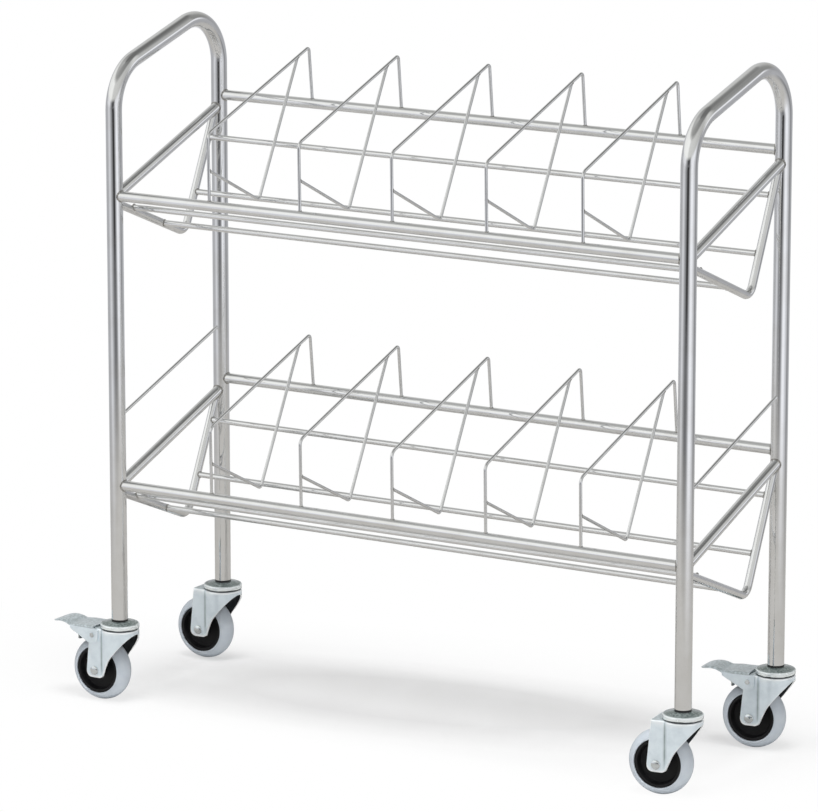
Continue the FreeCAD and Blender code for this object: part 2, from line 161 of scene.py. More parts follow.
class Bench:
    """A node tree together with the ways of adding nodes to it."""

    def __init__(self, tree: bpy.types.NodeTree, end: str = "ShaderNodeOutputMaterial") -> None:
        """Start with an empty tree.

        Args:
            tree: the tree of a material or world.
            end: type name of the node that the tree ends in.
        """
        self.tree = tree
        self.end = end
        tree.nodes.clear()

    def add(self, kind: str, settings: dict[str, object] | None = None,
            feeds: dict[int | str, Feed] | None = None) -> bpy.types.Node:
        """Add one node.

        Args:
            kind: the node's type name.
            settings: attributes set first; "stops" holds a ramp's (place, grey or colour) pairs.
            feeds: value, colour or signal of each input socket.

        Returns:
            The new node.
        """
        made = self.tree.nodes.new(kind)
        for key, value in (settings or {}).items():
            if key == "stops":
                self._set_stops(made.color_ramp, value)
            else:
                setattr(made, key, value)
        for key, value in (feeds or {}).items():
            if isinstance(value, Signal):
                self.tree.links.new(value.socket, made.inputs[key])
            else:
                made.inputs[key].default_value = value
        return made

    def node(self, kind: str, settings: dict[str, object] | None = None,
             feeds: dict[int | str, Feed] | None = None, output: int | str = 0) -> Signal:
        """Add one node and hand on one of its outputs."""
        return Signal(self, self.add(kind, settings, feeds).outputs[output])

    @staticmethod
    def _set_stops(ramp: bpy.types.ColorRamp, stops: Sequence[tuple[float, float | Colour]]) -> None:
        """Write a ramp's stops.

        Args:
            ramp: the colour ramp.
            stops: place and grey or colour of each stop, in rising order.
        """
        while len(ramp.elements) < len(stops):
            ramp.elements.new(1.0)
        for element, (place, shade) in zip(ramp.elements, stops):
            colour = (shade,) * 3 if isinstance(shade, (int, float)) else shade
            element.position = place
            element.color = (*colour, 1.0)

    def noise(self, where: Signal, scale: float, detail: float = 2.0, rough: float = 0.5) -> Signal:
        """A noise value from 0 to 1.

        Args:
            where: coordinates.
            scale: size of the pattern per metre.
            detail: number of finer layers.
            rough: weight of the finer layers.

        Returns:
            The noise value.
        """
        return self.node("ShaderNodeTexNoise", {"noise_dimensions": "3D"},
                         {"Vector": where, "Scale": scale, "Detail": detail, "Roughness": rough})

    def ramp(self, value: Signal, *stops: tuple[float, float | Colour]) -> Signal:
        """A value or colour read from a ramp.

        Args:
            value: place on the ramp, 0 to 1.
            stops: place and shade of each stop.

        Returns:
            The ramp's colour.
        """
        return self.node("ShaderNodeValToRGB", {"stops": stops}, {"Fac": value})

    def rise(self, value: Signal, low: float, high: float) -> Signal:
        """A share that climbs from 0 at the low value to 1 at the high one."""
        return self.ramp(value, (low, 0.0), (high, 1.0))

    def mix(self, share: Feed, first: Feed, second: Feed) -> Signal:
        """A mix of two colours.

        Args:
            share: how much of the second colour.
            first: colour at share 0.
            second: colour at share 1.

        Returns:
            The mixed colour.
        """
        colours = [part if isinstance(part, Signal) else (*part, 1.0) for part in (first, second)]
        return self.node("ShaderNodeMix", {"data_type": "RGBA"},
                         {0: share, **dict(zip(MIX_COLOURS, colours))}, output=MIX_RESULT)

    def bump(self, height: Signal, depth_mm: float) -> Signal:
        """A normal bent by a height from 0 to 1 that stands for the depth."""
        return self.node("ShaderNodeBump", None,
                         {"Strength": 1.0, "Distance": depth_mm * MM, "Height": height})

    def length(self, vector: Signal) -> Signal:
        """The length of a vector."""
        return self.node("ShaderNodeVectorMath", {"operation": "LENGTH"}, {0: vector}, output="Value")

    def blend(self, share: Signal, first: Signal, second: Signal) -> Signal:
        """A mix of two shaders."""
        return self.node("ShaderNodeMixShader", None, {0: share, 1: first, 2: second})

    def surface(self, shader: Signal) -> None:
        """Join a shader to the tree's end."""
        self.add(self.end, None, {"Surface": shader})


def new_material(name: str) -> tuple[bpy.types.Material, Bench, Signal]:
    """Begin a material.

    Args:
        name: the finish's name.

    Returns:
        The material, its bench and its coordinates at rest.
    """
    material = bpy.data.materials.new(name)
    material.use_nodes = True
    bench = Bench(material.node_tree)
    return material, bench, bench.node("ShaderNodeTexCoord", output="Object")


# ---------------------------------------------------------------- finishes
@dataclass(frozen=True)
class Plating:
    """Bright or satin plating on steel, with haze patches, specks and a faint ripple.

    Heights of the darkening above and of the painted shade below are millimetres above the floor.  A finish
    that follows painted light also takes the piece's layer of painted highlights and painted shade.
    """

    name: str
    tint: Colour
    stain: Colour
    metal: float = 1.0
    polish: float = 0.06
    haze: float = 0.10
    haze_scale: float = 24.0
    haze_edge: Pair = (0.42, 0.72)
    haze_share: float = 0.7
    stain_share: float = 0.5
    speck: float = 0.5
    speck_scale: float = 1500.0
    speck_edge: Pair = (0.66, 0.74)
    ripple_scale: float = 90.0
    ripple_mm: float = 0.02
    # colour and spread of a blotchy darkening above a height
    worn_above: float | None = None
    worn_tint: Colour = (0.30, 0.34, 0.35)
    worn_least: float = 0.45
    worn_fade: float = 2.0
    worn_edge: Pair = (0.2, 0.8)
    blotch_scale: float = 260.0
    blotch_edge: Pair = (0.35, 0.65)
    # painted shade: a dark band below a height stands for the shade in a gap
    grease_below: float | None = None
    grease: Colour = (0.03, 0.035, 0.035)
    grease_edge: Pair = (0.3, 0.7)
    smear_mm: float = 2.0
    smear_scale: float = 60.0
    # painted highlights and painted shade, read from the piece's own layer
    handled: bool = False
    touch_scale: float = 90.0
    touch_spread: float = 0.6
    rubbed: Colour = (0.97, 0.98, 0.98)
    soiled: Colour = (0.20, 0.25, 0.25)

    def worn(self, bench: Bench, where: Signal, colour: Signal) -> Signal:
        """The colour, blotchily darker above one height and with painted shade below another.

        Args:
            bench: the material's tree.
            where: coordinates at rest.
            colour: the plating's colour.

        Returns:
            The colour, darker above the one height and with painted shade below the other that the finish
            names.
        """
        height = bench.node("ShaderNodeSeparateXYZ", None, {0: where}, output=2)
        # darker above a height, in blotches
        if self.worn_above is not None:
            depth = (height - self.worn_above * MM) / (self.worn_fade * MM) + 0.5
            share = bench.rise(depth, *self.worn_edge)
            cloud = bench.noise(where, self.blotch_scale, detail=4.0, rough=0.6)
            least, most = self.blotch_edge
            blotch = bench.ramp(cloud, (least, self.worn_least), (most, 1.0))
            colour = bench.mix(share * blotch, colour, self.worn_tint)
        # painted shade: a dark band below a height stands for the shade in the gap between cap and fork
        if self.grease_below is not None:
            wobble = (bench.noise(where, self.smear_scale) - 0.5) * (self.smear_mm * MM)
            depth = (self.grease_below * MM - height + wobble) / MM + 0.5
            share = bench.rise(depth, *self.grease_edge)
            colour = bench.mix(share, colour, self.grease)
        return colour

    def touched(self, bench: Bench, where: Signal, colour: Signal) -> Signal:
        """The colour with painted highlights on edges and painted shade in creases, as the piece's layer
        says.

        Args:
            bench: the material's tree.
            where: coordinates at rest.
            colour: the plating's colour.

        Returns:
            The colour, with a painted highlight where the layer is above zero and painted shade where it is
            below.
        """
        if not self.handled:
            return colour
        touch = bench.node("ShaderNodeAttribute", {"attribute_name": PAINTED_LIGHT_LAYER}, output="Fac")
        cloud = bench.noise(where, self.touch_scale, detail=1.0)
        uneven = cloud * self.touch_spread + (1 - self.touch_spread / 2)
        # painted highlight where the layer is above zero, painted shade where it is below
        colour = bench.mix((touch * uneven).at_least(0.0).at_most(1.0), colour, self.rubbed)
        return bench.mix((touch * uneven * -1.0).at_least(0.0).at_most(1.0), colour, self.soiled)

    def material(self) -> bpy.types.Material:
        """The finish as a material.

        Returns:
            The material.
        """
        material, bench, where = new_material(self.name)
        patches = bench.rise(bench.noise(where, self.haze_scale, detail=5.0, rough=0.6), *self.haze_edge)
        speck = bench.rise(bench.noise(where, self.speck_scale), *self.speck_edge)
        dulled = (patches * self.haze_share + speck * self.speck).at_most(1.0)
        colour = self.worn(bench, where, bench.mix(dulled * self.stain_share, self.tint, self.stain))
        colour = self.touched(bench, where, colour)
        rough = self.polish + dulled * self.haze
        height = bench.noise(where, self.ripple_scale, detail=3.0, rough=0.55)
        shader = bench.node("ShaderNodeBsdfPrincipled", None, {
            "Base Color": colour, "Metallic": self.metal, "Roughness": rough,
            "Normal": bench.bump(height, self.ripple_mm)})
        bench.surface(shader)
        return material


@dataclass(frozen=True)
class Moulding:
    """Moulded rubber or plastic with fine grain, dust and scuffs, and painted shade towards its outline
    where asked.
    """

    name: str
    tint: Colour
    dust: Colour
    rough: float = 0.5
    rough_spread: float = 0.15
    gloss: float = 0.45
    dust_share: float = 0.4
    dust_scale: float = 60.0
    dust_edge: Pair = (0.40, 0.75)
    grain_scale: float = 900.0
    grain_mm: float = 0.02
    # share of painted shade towards the outline
    outline: float = 0.0
    outline_blend: float = 0.35
    outline_shade: float = 0.45

    def material(self) -> bpy.types.Material:
        """The finish as a material.

        Returns:
            The material.
        """
        material, bench, where = new_material(self.name)
        dust = bench.rise(bench.noise(where, self.dust_scale, detail=6.0, rough=0.65), *self.dust_edge)
        grain = bench.noise(where, self.grain_scale, detail=3.0)
        colour = bench.mix(dust * self.dust_share, self.tint, self.dust)
        # painted shade: darker where the surface turns away from the view
        if self.outline > 0:
            edge = bench.node("ShaderNodeLayerWeight", None, {"Blend": self.outline_blend}, output="Facing")
            colour = bench.mix(edge * self.outline, colour,
                               tuple(self.outline_shade * part for part in self.tint))
        rough = self.rough + dust * self.rough_spread
        shader = bench.node("ShaderNodeBsdfPrincipled", None, {
            "Base Color": colour, "Metallic": 0.0, "Roughness": rough, "Specular IOR Level": self.gloss,
            "Normal": bench.bump(grain, self.grain_mm)})
        bench.surface(shader)
        return material


CHROME = Plating("bright_chrome", (0.86, 0.87, 0.88), (0.70, 0.69, 0.66))
WIRE_CHROME = Plating("wire_chrome", (0.84, 0.85, 0.86), (0.66, 0.65, 0.63), polish=0.10)
WELD_CHROME = Plating("weld_chrome", (0.46, 0.45, 0.43), (0.24, 0.23, 0.20), polish=0.22, haze=0.2,
                      haze_scale=260.0, ripple_scale=420.0, ripple_mm=0.06)
# zinc is darker above the fork's top and follows the pressings' painted highlights and painted crease shade
ZINC = Plating("zinc_plate", (0.74, 0.82, 0.87), (0.46, 0.54, 0.60), metal=0.5, polish=0.28,
               haze_scale=55.0, speck=0.12, speck_scale=700.0, ripple_scale=60.0, worn_above=117.4,
               handled=True)
# painted shade: a near-black copy of the zinc lines the pressings' inner side, standing for the shade inside
# the fork
PAINTED_SHADE_ZINC = Plating("shaded_zinc", (0.045, 0.05, 0.055), (0.09, 0.10, 0.11), metal=0.5, polish=0.45,
                      haze=0.2, haze_scale=120.0)
# the cap is darker above its rim and has painted shade along its lower edge for the gap over the fork
CAP_ZINC = Plating("cap_zinc", (0.86, 0.91, 0.92), (0.52, 0.57, 0.57), metal=0.6, polish=0.18, haze=0.16,
                   haze_scale=120.0, speck=0.2, worn_above=126.2, worn_tint=(0.08, 0.115, 0.11),
                   worn_least=0.75, grease_below=120.0)
FASTENER = Plating("fastener_zinc", (0.80, 0.85, 0.87), (0.40, 0.44, 0.46), polish=0.09,
                   haze_scale=160.0)
BALL_STEEL = Plating("ball_steel", (0.62, 0.62, 0.62), (0.40, 0.38, 0.34), polish=0.08,
                     haze_scale=300.0)
# the tyre gets painted shade towards its outline
TYRE_RUBBER = Moulding("tyre_rubber", (0.465, 0.51, 0.56), (0.62, 0.65, 0.67), rough=0.55, outline=0.45)
HUB_NYLON = Moulding("hub_nylon", (0.007, 0.007, 0.008), (0.03, 0.03, 0.03), rough=0.55,
                     dust_share=0.25, gloss=0.25)
INSERT_NYLON = Moulding("insert_nylon", (0.014, 0.014, 0.015), (0.06, 0.06, 0.06), rough=0.4,
                        dust_share=0.2)

Finish = Plating | Moulding


class Paintshop:
    """Makes each finish once and puts it on the pieces."""

    def __init__(self) -> None:
        """Start with no material made."""
        self.made: dict[str, bpy.types.Material] = {}

    def material(self, finish: Finish) -> bpy.types.Material:
        """The material of a finish, made when it is first asked for.

        Args:
            finish: the finish.

        Returns:
            Its material.
        """
        if finish.name not in self.made:
            self.made[finish.name] = finish.material()
        return self.made[finish.name]

    def dress(self, piece: bpy.types.Object, finish: Finish) -> None:
        """Put a finish on a piece.

        Args:
            piece: a new piece or a node of the frame.
            finish: what it gets.
        """
        if piece.material_slots:
            for holder in piece.material_slots:
                holder.material = self.material(finish)
        else:
            piece.data.materials.append(self.material(finish))

    def dress_node(self, node: str, finish: Finish) -> None:
        """Put a finish on one of the frame's own nodes and report it."""
        self.dress(frame["nodes"][node], finish)
        log.info("node %s in %s", node, finish.name)

    def line(self, piece: bpy.types.Object, finish: Finish) -> None:
        """Give the inner side of a sheet that has been thickened its own finish, such as a dark painted
        shade.

        Args:
            piece: a dressed pressing.
            finish: what its inner side gets.
        """
        piece.data.materials.append(self.material(finish))
        piece.modifiers["sheet"].material_offset = 1


# ---------------------------------------------------------------- drawing meshes
BEAD_SIDES = 8  # points round a weld bead
BEAD_SWELL = 0.16  # how far the ripples of a weld bead rise, as a share of its radius
WELD_GAP = 0.002  # points of a mesh that lie closer than this are one, in millimetres
CRISP_EDGE = 35.0  # edges that turn by more degrees than this are drawn sharp
ROUNDED_EDGE = 50.0  # edges of a sheet that turn by more degrees than this are rounded


@dataclass(frozen=True)
class Station:
    """A point on a line, with the way that the line runs there."""

    point: Vector
    heading: Vector


@dataclass(frozen=True)
class Barrel:
    """A round tube that another tube's end is cut to fit."""

    point: Vector
    axis: Vector
    radius: float

    def reach(self, start: Vector, heading: Vector) -> float:
        """How far a line runs before it meets the barrel.

        Args:
            start: where the line begins.
            heading: its unit direction.

        Returns:
            The distance, or infinity when the line misses.
        """
        offset = start - self.point
        flat_start = offset - self.axis * offset.dot(self.axis)
        flat_heading = heading - self.axis * heading.dot(self.axis)
        square = flat_heading.length_squared
        if square < TINY:
            return math.inf
        middle = flat_start.dot(flat_heading) / square
        gap = (flat_start.length_squared - self.radius ** 2) / square
        under = middle ** 2 - gap
        if under < 0:
            return math.inf
        near = -middle - math.sqrt(under)
        return near if near > 0 else math.inf


def full_turn(count: int) -> list[float]:
    """Equally spaced angles once round, in radians."""
    return [2 * math.pi * index / count for index in range(count)]


def flipped(profile: Sequence[Pair]) -> list[Pair]:
    """A (radius, height) line run back with its heights turned over."""
    return [(radius, -height) for radius, height in reversed(profile)]


def bent_line(corners: Sequence[Vector], radii: Sequence[float], arc_step: float) -> list[Station]:
    """Stations along straight runs that are joined by tangent arcs.

    Args:
        corners: the two ends and the sharp corners between them.
        radii: bend radius at each inner corner.
        arc_step: degrees between the stations on a bend.

    Returns:
        The stations from the first end to the last.
    """
    headings = [(after - before).normalized() for before, after in zip(corners, corners[1:])]
    stations = [Station(corners[0], headings[0])]
    for corner, radius, arriving, leaving in zip(corners[1:-1], radii, headings, headings[1:]):
        turn = arriving.angle(leaving)
        reach = radius * math.tan(turn / 2)
        start = corner - arriving * reach
        inward = (leaving - arriving * arriving.dot(leaving)).normalized()
        count = max(2, math.ceil(math.degrees(turn) / arc_step))
        for step in range(count + 1):
            angle = turn * step / count
            ahead, aside = radius * math.sin(angle), radius * (1 - math.cos(angle))
            stations.append(Station(start + arriving * ahead + inward * aside,
                                    arriving * math.cos(angle) + inward * math.sin(angle)))
    stations.append(Station(corners[-1], headings[-1]))
    return stations


def circle(station: Station, across: Vector, radius: float, sides: int) -> list[Vector]:
    """Points on a circle square to a line.

    Args:
        station: centre and direction.
        across: a direction square to the line.
        radius: the circle's radius.
        sides: number of points.

    Returns:
        The points in order.
    """
    upward = station.heading.cross(across).normalized()
    return [station.point + (across * math.cos(turn) + upward * math.sin(turn)) * radius
            for turn in full_turn(sides)]


def coped(ring: Sequence[Vector], heading: Vector, limit: float, barrels: Sequence[Barrel]) -> list[Vector]:
    """Run each point of a ring forward until it meets a barrel.

    Args:
        ring: points of a tube's last clear section.
        heading: direction towards the end.
        limit: distance at which the tube ends if it meets nothing.
        barrels: what it is cut to fit.

    Returns:
        The points of the fitted end.
    """
    ends = []
    for point in ring:
        run = min([limit] + [barrel.reach(point, heading) for barrel in barrels])
        ends.append(point + heading * run)
    return ends


def spun(profile: Sequence[Pair], axis: Vector, upright: Vector, centre: Vector,
         sides: int) -> list[list[Vector]]:
    """Rings of a turned profile.

    Args:
        profile: (radius, height along the axis) pairs.
        axis: the turning axis.
        upright: a direction square to the axis.
        centre: point of the axis at height 0.
        sides: points of each ring.

    Returns:
        One ring for each profile point.
    """
    sideways = axis.cross(upright)
    turns = full_turn(sides)
    return [[centre + axis * height + (upright * math.cos(turn) + sideways * math.sin(turn)) * radius
             for turn in turns] for radius, height in profile]


def rounded(points: Sequence[Pair], radii: Sequence[float], step: float = 15.0) -> list[Pair]:
    """A flat line with rounded inner corners.

    Args:
        points: the line's corners.
        radii: rounding of each inner corner; zero keeps it sharp.
        step: degrees between the points of a rounding.

    Returns:
        The points of the rounded line.
    """
    made = [points[0]]
    for index, radius in enumerate(radii, start=1):
        if radius > 0:
            trio = [Vector((*points[index + shift], 0)) for shift in (-1, 0, 1)]
            arc = bent_line(trio, [radius], step)[1:-1]
            made.extend((station.point.x, station.point.y) for station in arc)
        else:
            made.append(points[index])
    made.append(points[-1])
    return made


@dataclass
class Draft:
    """Points and faces of one piece, in millimetres, gathered before its mesh is made.

    The painted light layer holds, by point number, how strong a painted highlight (above 0) or painted shade
    (below 0) is at a point.
    """

    points: list[Vector] = field(default_factory=list)
    faces: list[tuple[int, ...]] = field(default_factory=list)
    touch: dict[int, float] = field(default_factory=dict)

    def ring(self, points: Sequence[Vector]) -> list[int]:
        """Add a row of points.

        Args:
            points: the points in order.

        Returns:
            Their numbers.
        """
        first = len(self.points)
        self.points.extend(points)
        return list(range(first, len(self.points)))

    def bridge(self, first: Sequence[int], second: Sequence[int], closed: bool = True) -> None:
        """Join two rows by quads.

        Args:
            first: point numbers of one row.
            second: point numbers of the other.
            closed: whether the rows run all round.
        """
        count = len(first)
        for index in range(count if closed else count - 1):
            ahead = (index + 1) % count
            self.faces.append((first[index], first[ahead], second[ahead], second[index]))

    def close(self, ring: Sequence[int]) -> None:
        """Close a ring by triangles about its middle.

        Args:
            ring: the point numbers of the ring.
        """
        middle = sum((self.points[index] for index in ring), Vector()) / len(ring)
        centre = self.ring([middle])[0]
        for index, here in enumerate(ring):
            self.faces.append((here, ring[(index + 1) % len(ring)], centre))

    def skin(self, rows: Sequence[Sequence[Vector]], closed: bool = True) -> list[list[int]]:
        """Add rows of points and join each to the next.

        Args:
            rows: the rows of points.
            closed: whether the rows run all round.

        Returns:
            The point numbers of each row.
        """
        numbered = [self.ring(row) for row in rows]
        for first, second in zip(numbered, numbered[1:]):
            self.bridge(first, second, closed)
        return numbered

    def lathe(self, profile: Sequence[Pair], axis: Vector, upright: Vector, centre: Vector,
              sides: int) -> None:
        """Turn a closed outline about an axis.

        Args:
            profile: (radius, height) corners of the closed outline.
            axis: the turning axis.
            upright: a direction square to the axis.
            centre: point of the axis at height 0.
            sides: points of each ring.
        """
        numbered = self.skin(spun(profile, axis, upright, centre, sides))
        self.bridge(numbered[-1], numbered[0])

    def rod(self, stations: Sequence[Station], across: Vector, radius: float, sides: int,
            start: Sequence[Barrel], end: Sequence[Barrel]) -> tuple[list[Vector], list[Vector]]:
        """A solid round bar along a line, each end cut to fit what it meets.

        Args:
            stations: the line.
            across: direction square to the line's plane.
            radius: the bar's radius.
            sides: points of each ring.
            start: what the first end meets.
            end: what the last end meets.

        Returns:
            The two end rings.
        """
        rings = [circle(station, across, radius, sides) for station in stations]
        for place, inner, barrels in ((0, 1, start), (-1, -2, end)):
            last_run = stations[place].point - stations[inner].point
            heading, length = last_run.normalized(), last_run.length
            base = [point - heading * length for point in rings[place]]
            rings[place] = coped(base, heading, length, barrels)
        numbered = self.skin(rings)
        self.close(numbered[0])
        self.close(numbered[-1])
        return rings[0], rings[-1]

    def bead(self, loop: Sequence[Vector], heading: Vector, radius: float, waves: int) -> None:
        """A weld bead round a joint.

        Args:
            loop: points of the joint line.
            heading: direction of the welded tube.
            radius: half the bead's width.
            waves: number of ripples round the joint.
        """
        count = len(loop)
        turns = full_turn(BEAD_SIDES)
        rows = []
        for index, point in enumerate(loop):
            along = (loop[(index + 1) % count] - loop[index - 1]).normalized()
            outward = (heading - along * heading.dot(along)).normalized()
            sideways = along.cross(outward)
            swell = radius * (1 + BEAD_SWELL * math.sin(2 * math.pi * waves * index / count))
            rows.append([point + (outward * math.cos(turn) + sideways * math.sin(turn)) * swell
                         for turn in turns])
        numbered = self.skin(rows)
        self.bridge(numbered[-1], numbered[0])

    def piece(self, name: str, place: Matrix | None = None) -> bpy.types.Object:
        """Make the mesh and its object.

        Args:
            name: the piece's name.
            place: where a piece that was drawn about its own axis goes, in millimetres.

        Returns:
            The object, in metres.
        """
        matrix = Matrix.Scale(MM, 4) @ (place or Matrix.Identity(4))
        mesh = bpy.data.meshes.new(name)
        mesh.from_pydata([matrix @ point for point in self.points], [], self.faces)
        if self.touch:
            layer = mesh.attributes.new(PAINTED_LIGHT_LAYER, "FLOAT", "POINT")
            for index, value in self.touch.items():
                layer.data[index].value = value
        work = bmesh.new()
        work.from_mesh(mesh)
        bmesh.ops.remove_doubles(work, verts=work.verts, dist=WELD_GAP * MM)
        bmesh.ops.recalc_face_normals(work, faces=work.faces)
        work.to_mesh(mesh)
        work.free()
        mesh.shade_smooth()
        mesh.set_sharp_from_angle(angle=math.radians(CRISP_EDGE))
        made = bpy.data.objects.new(name, mesh)
        bpy.context.scene.collection.objects.link(made)
        return made


def thicken(piece: bpy.types.Object, sheet: float, edge: float, inward: Vector) -> None:
    """Give a drawn outer face its sheet thickness and soft edges.

    Args:
        piece: an open skin.
        sheet: thickness in millimetres, added behind the skin.
        edge: rounding of the sheet's edges in millimetres.
        inward: a point behind the skin, in metres.
    """
    mesh = piece.data
    outward = sum((face.center - inward).normalized().dot(face.normal) * face.area
                  for face in mesh.polygons)
    if outward < 0:
        mesh.flip_normals()
    solid = piece.modifiers.new("sheet", "SOLIDIFY")
    solid.thickness = sheet * MM
    solid.offset = -1.0
    solid.use_even_offset = True
    bevel = piece.modifiers.new("edge", "BEVEL")
    bevel.width = edge * MM
    bevel.segments = 2
    bevel.limit_method = "ANGLE"
    bevel.angle_limit = math.radians(ROUNDED_EDGE)


def put(piece: bpy.types.Object, body: str, slot: str, *nodes: str) -> bpy.types.Object:
    """Hang a new piece on its body in place of its nodes.

    Args:
        piece: the new piece.
        body: the body that carries it.
        slot: material slot of the record; not used.
        nodes: frame nodes that it stands for.

    Returns:
        The same piece.
    """
    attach(piece, body)
    if nodes:
        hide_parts(*nodes)
    log.info("piece %s on %s", piece.name, body)
    return piece


# ---------------------------------------------------------------- the rack's frame
@dataclass(frozen=True)
class RackSizes:
    """Driving sizes of the rack that its sub-assemblies share."""

    span_x: float = 994.0
    span_y: float = 291.0
    leg_bottom: float = 133.0
    leg_radius: float = 12.7
    leg_wall: float = 1.5
    rail_radius: float = 8.0
    lower_tier: float = 346.0
    tier_pitch: float = 453.0
    rear_rail_rise: float = 116.5

    def end_x(self, side: Side) -> float:
        """X of an end frame."""
        return side.value * self.span_x / 2

    def leg_y(self, rear: bool) -> float:
        """Y of the front or rear legs."""
        return self.span_y / 2 if rear else -self.span_y / 2

    def tier_z(self, level: Level) -> float:
        """Height of a tier's front rail."""
        return self.lower_tier + level.value * self.tier_pitch

    def leg(self, side: Side, rear: bool) -> Barrel:
        """A leg as a barrel, to cut tube ends against."""
        return Barrel(Vector((self.end_x(side), self.leg_y(rear), 0)), Z_AXIS, self.leg_radius)


@dataclass
class EndFrame:
    """One bent tube: front leg, sloping push handle and rear leg."""

    rack: RackSizes
    side: Side
    front_rise: float = 188.5
    rear_rise: float = 267.0
    bend_radius: float = 76.0
    bend_step: float = 3.0
    sides: int = 48

    def line(self) -> list[Station]:
        """The tube's centre line.

        Returns:
            Its stations from the front leg's foot to the rear one's.
        """
        x = self.rack.end_x(self.side)
        top = self.rack.tier_z(Level.UPPER)
        front, rear = self.rack.leg_y(False), self.rack.leg_y(True)
        corners = [Vector((x, front, self.rack.leg_bottom)), Vector((x, front, top + self.front_rise)),
                   Vector((x, rear, top + self.rear_rise)), Vector((x, rear, self.rack.leg_bottom))]
        return bent_line(corners, [self.bend_radius] * 2, self.bend_step)

    def build(self, shop: Paintshop) -> None:
        """Draw the hollow tube and put it in place of its node.

        Args:
            shop: where it gets its finish.
        """
        draft = Draft()
        line = self.line()
        bore = self.rack.leg_radius - self.rack.leg_wall
        outer, inner = (draft.skin([circle(station, X_AXIS, radius, self.sides) for station in line])
                        for radius in (self.rack.leg_radius, bore))
        draft.bridge(outer[0], inner[0])
        draft.bridge(outer[-1], inner[-1])
        node = self.side.name.lower() + "_end_frame"
        shop.dress(put(draft.piece(node + "_tube"), "rack", "chrome", node), CHROME)


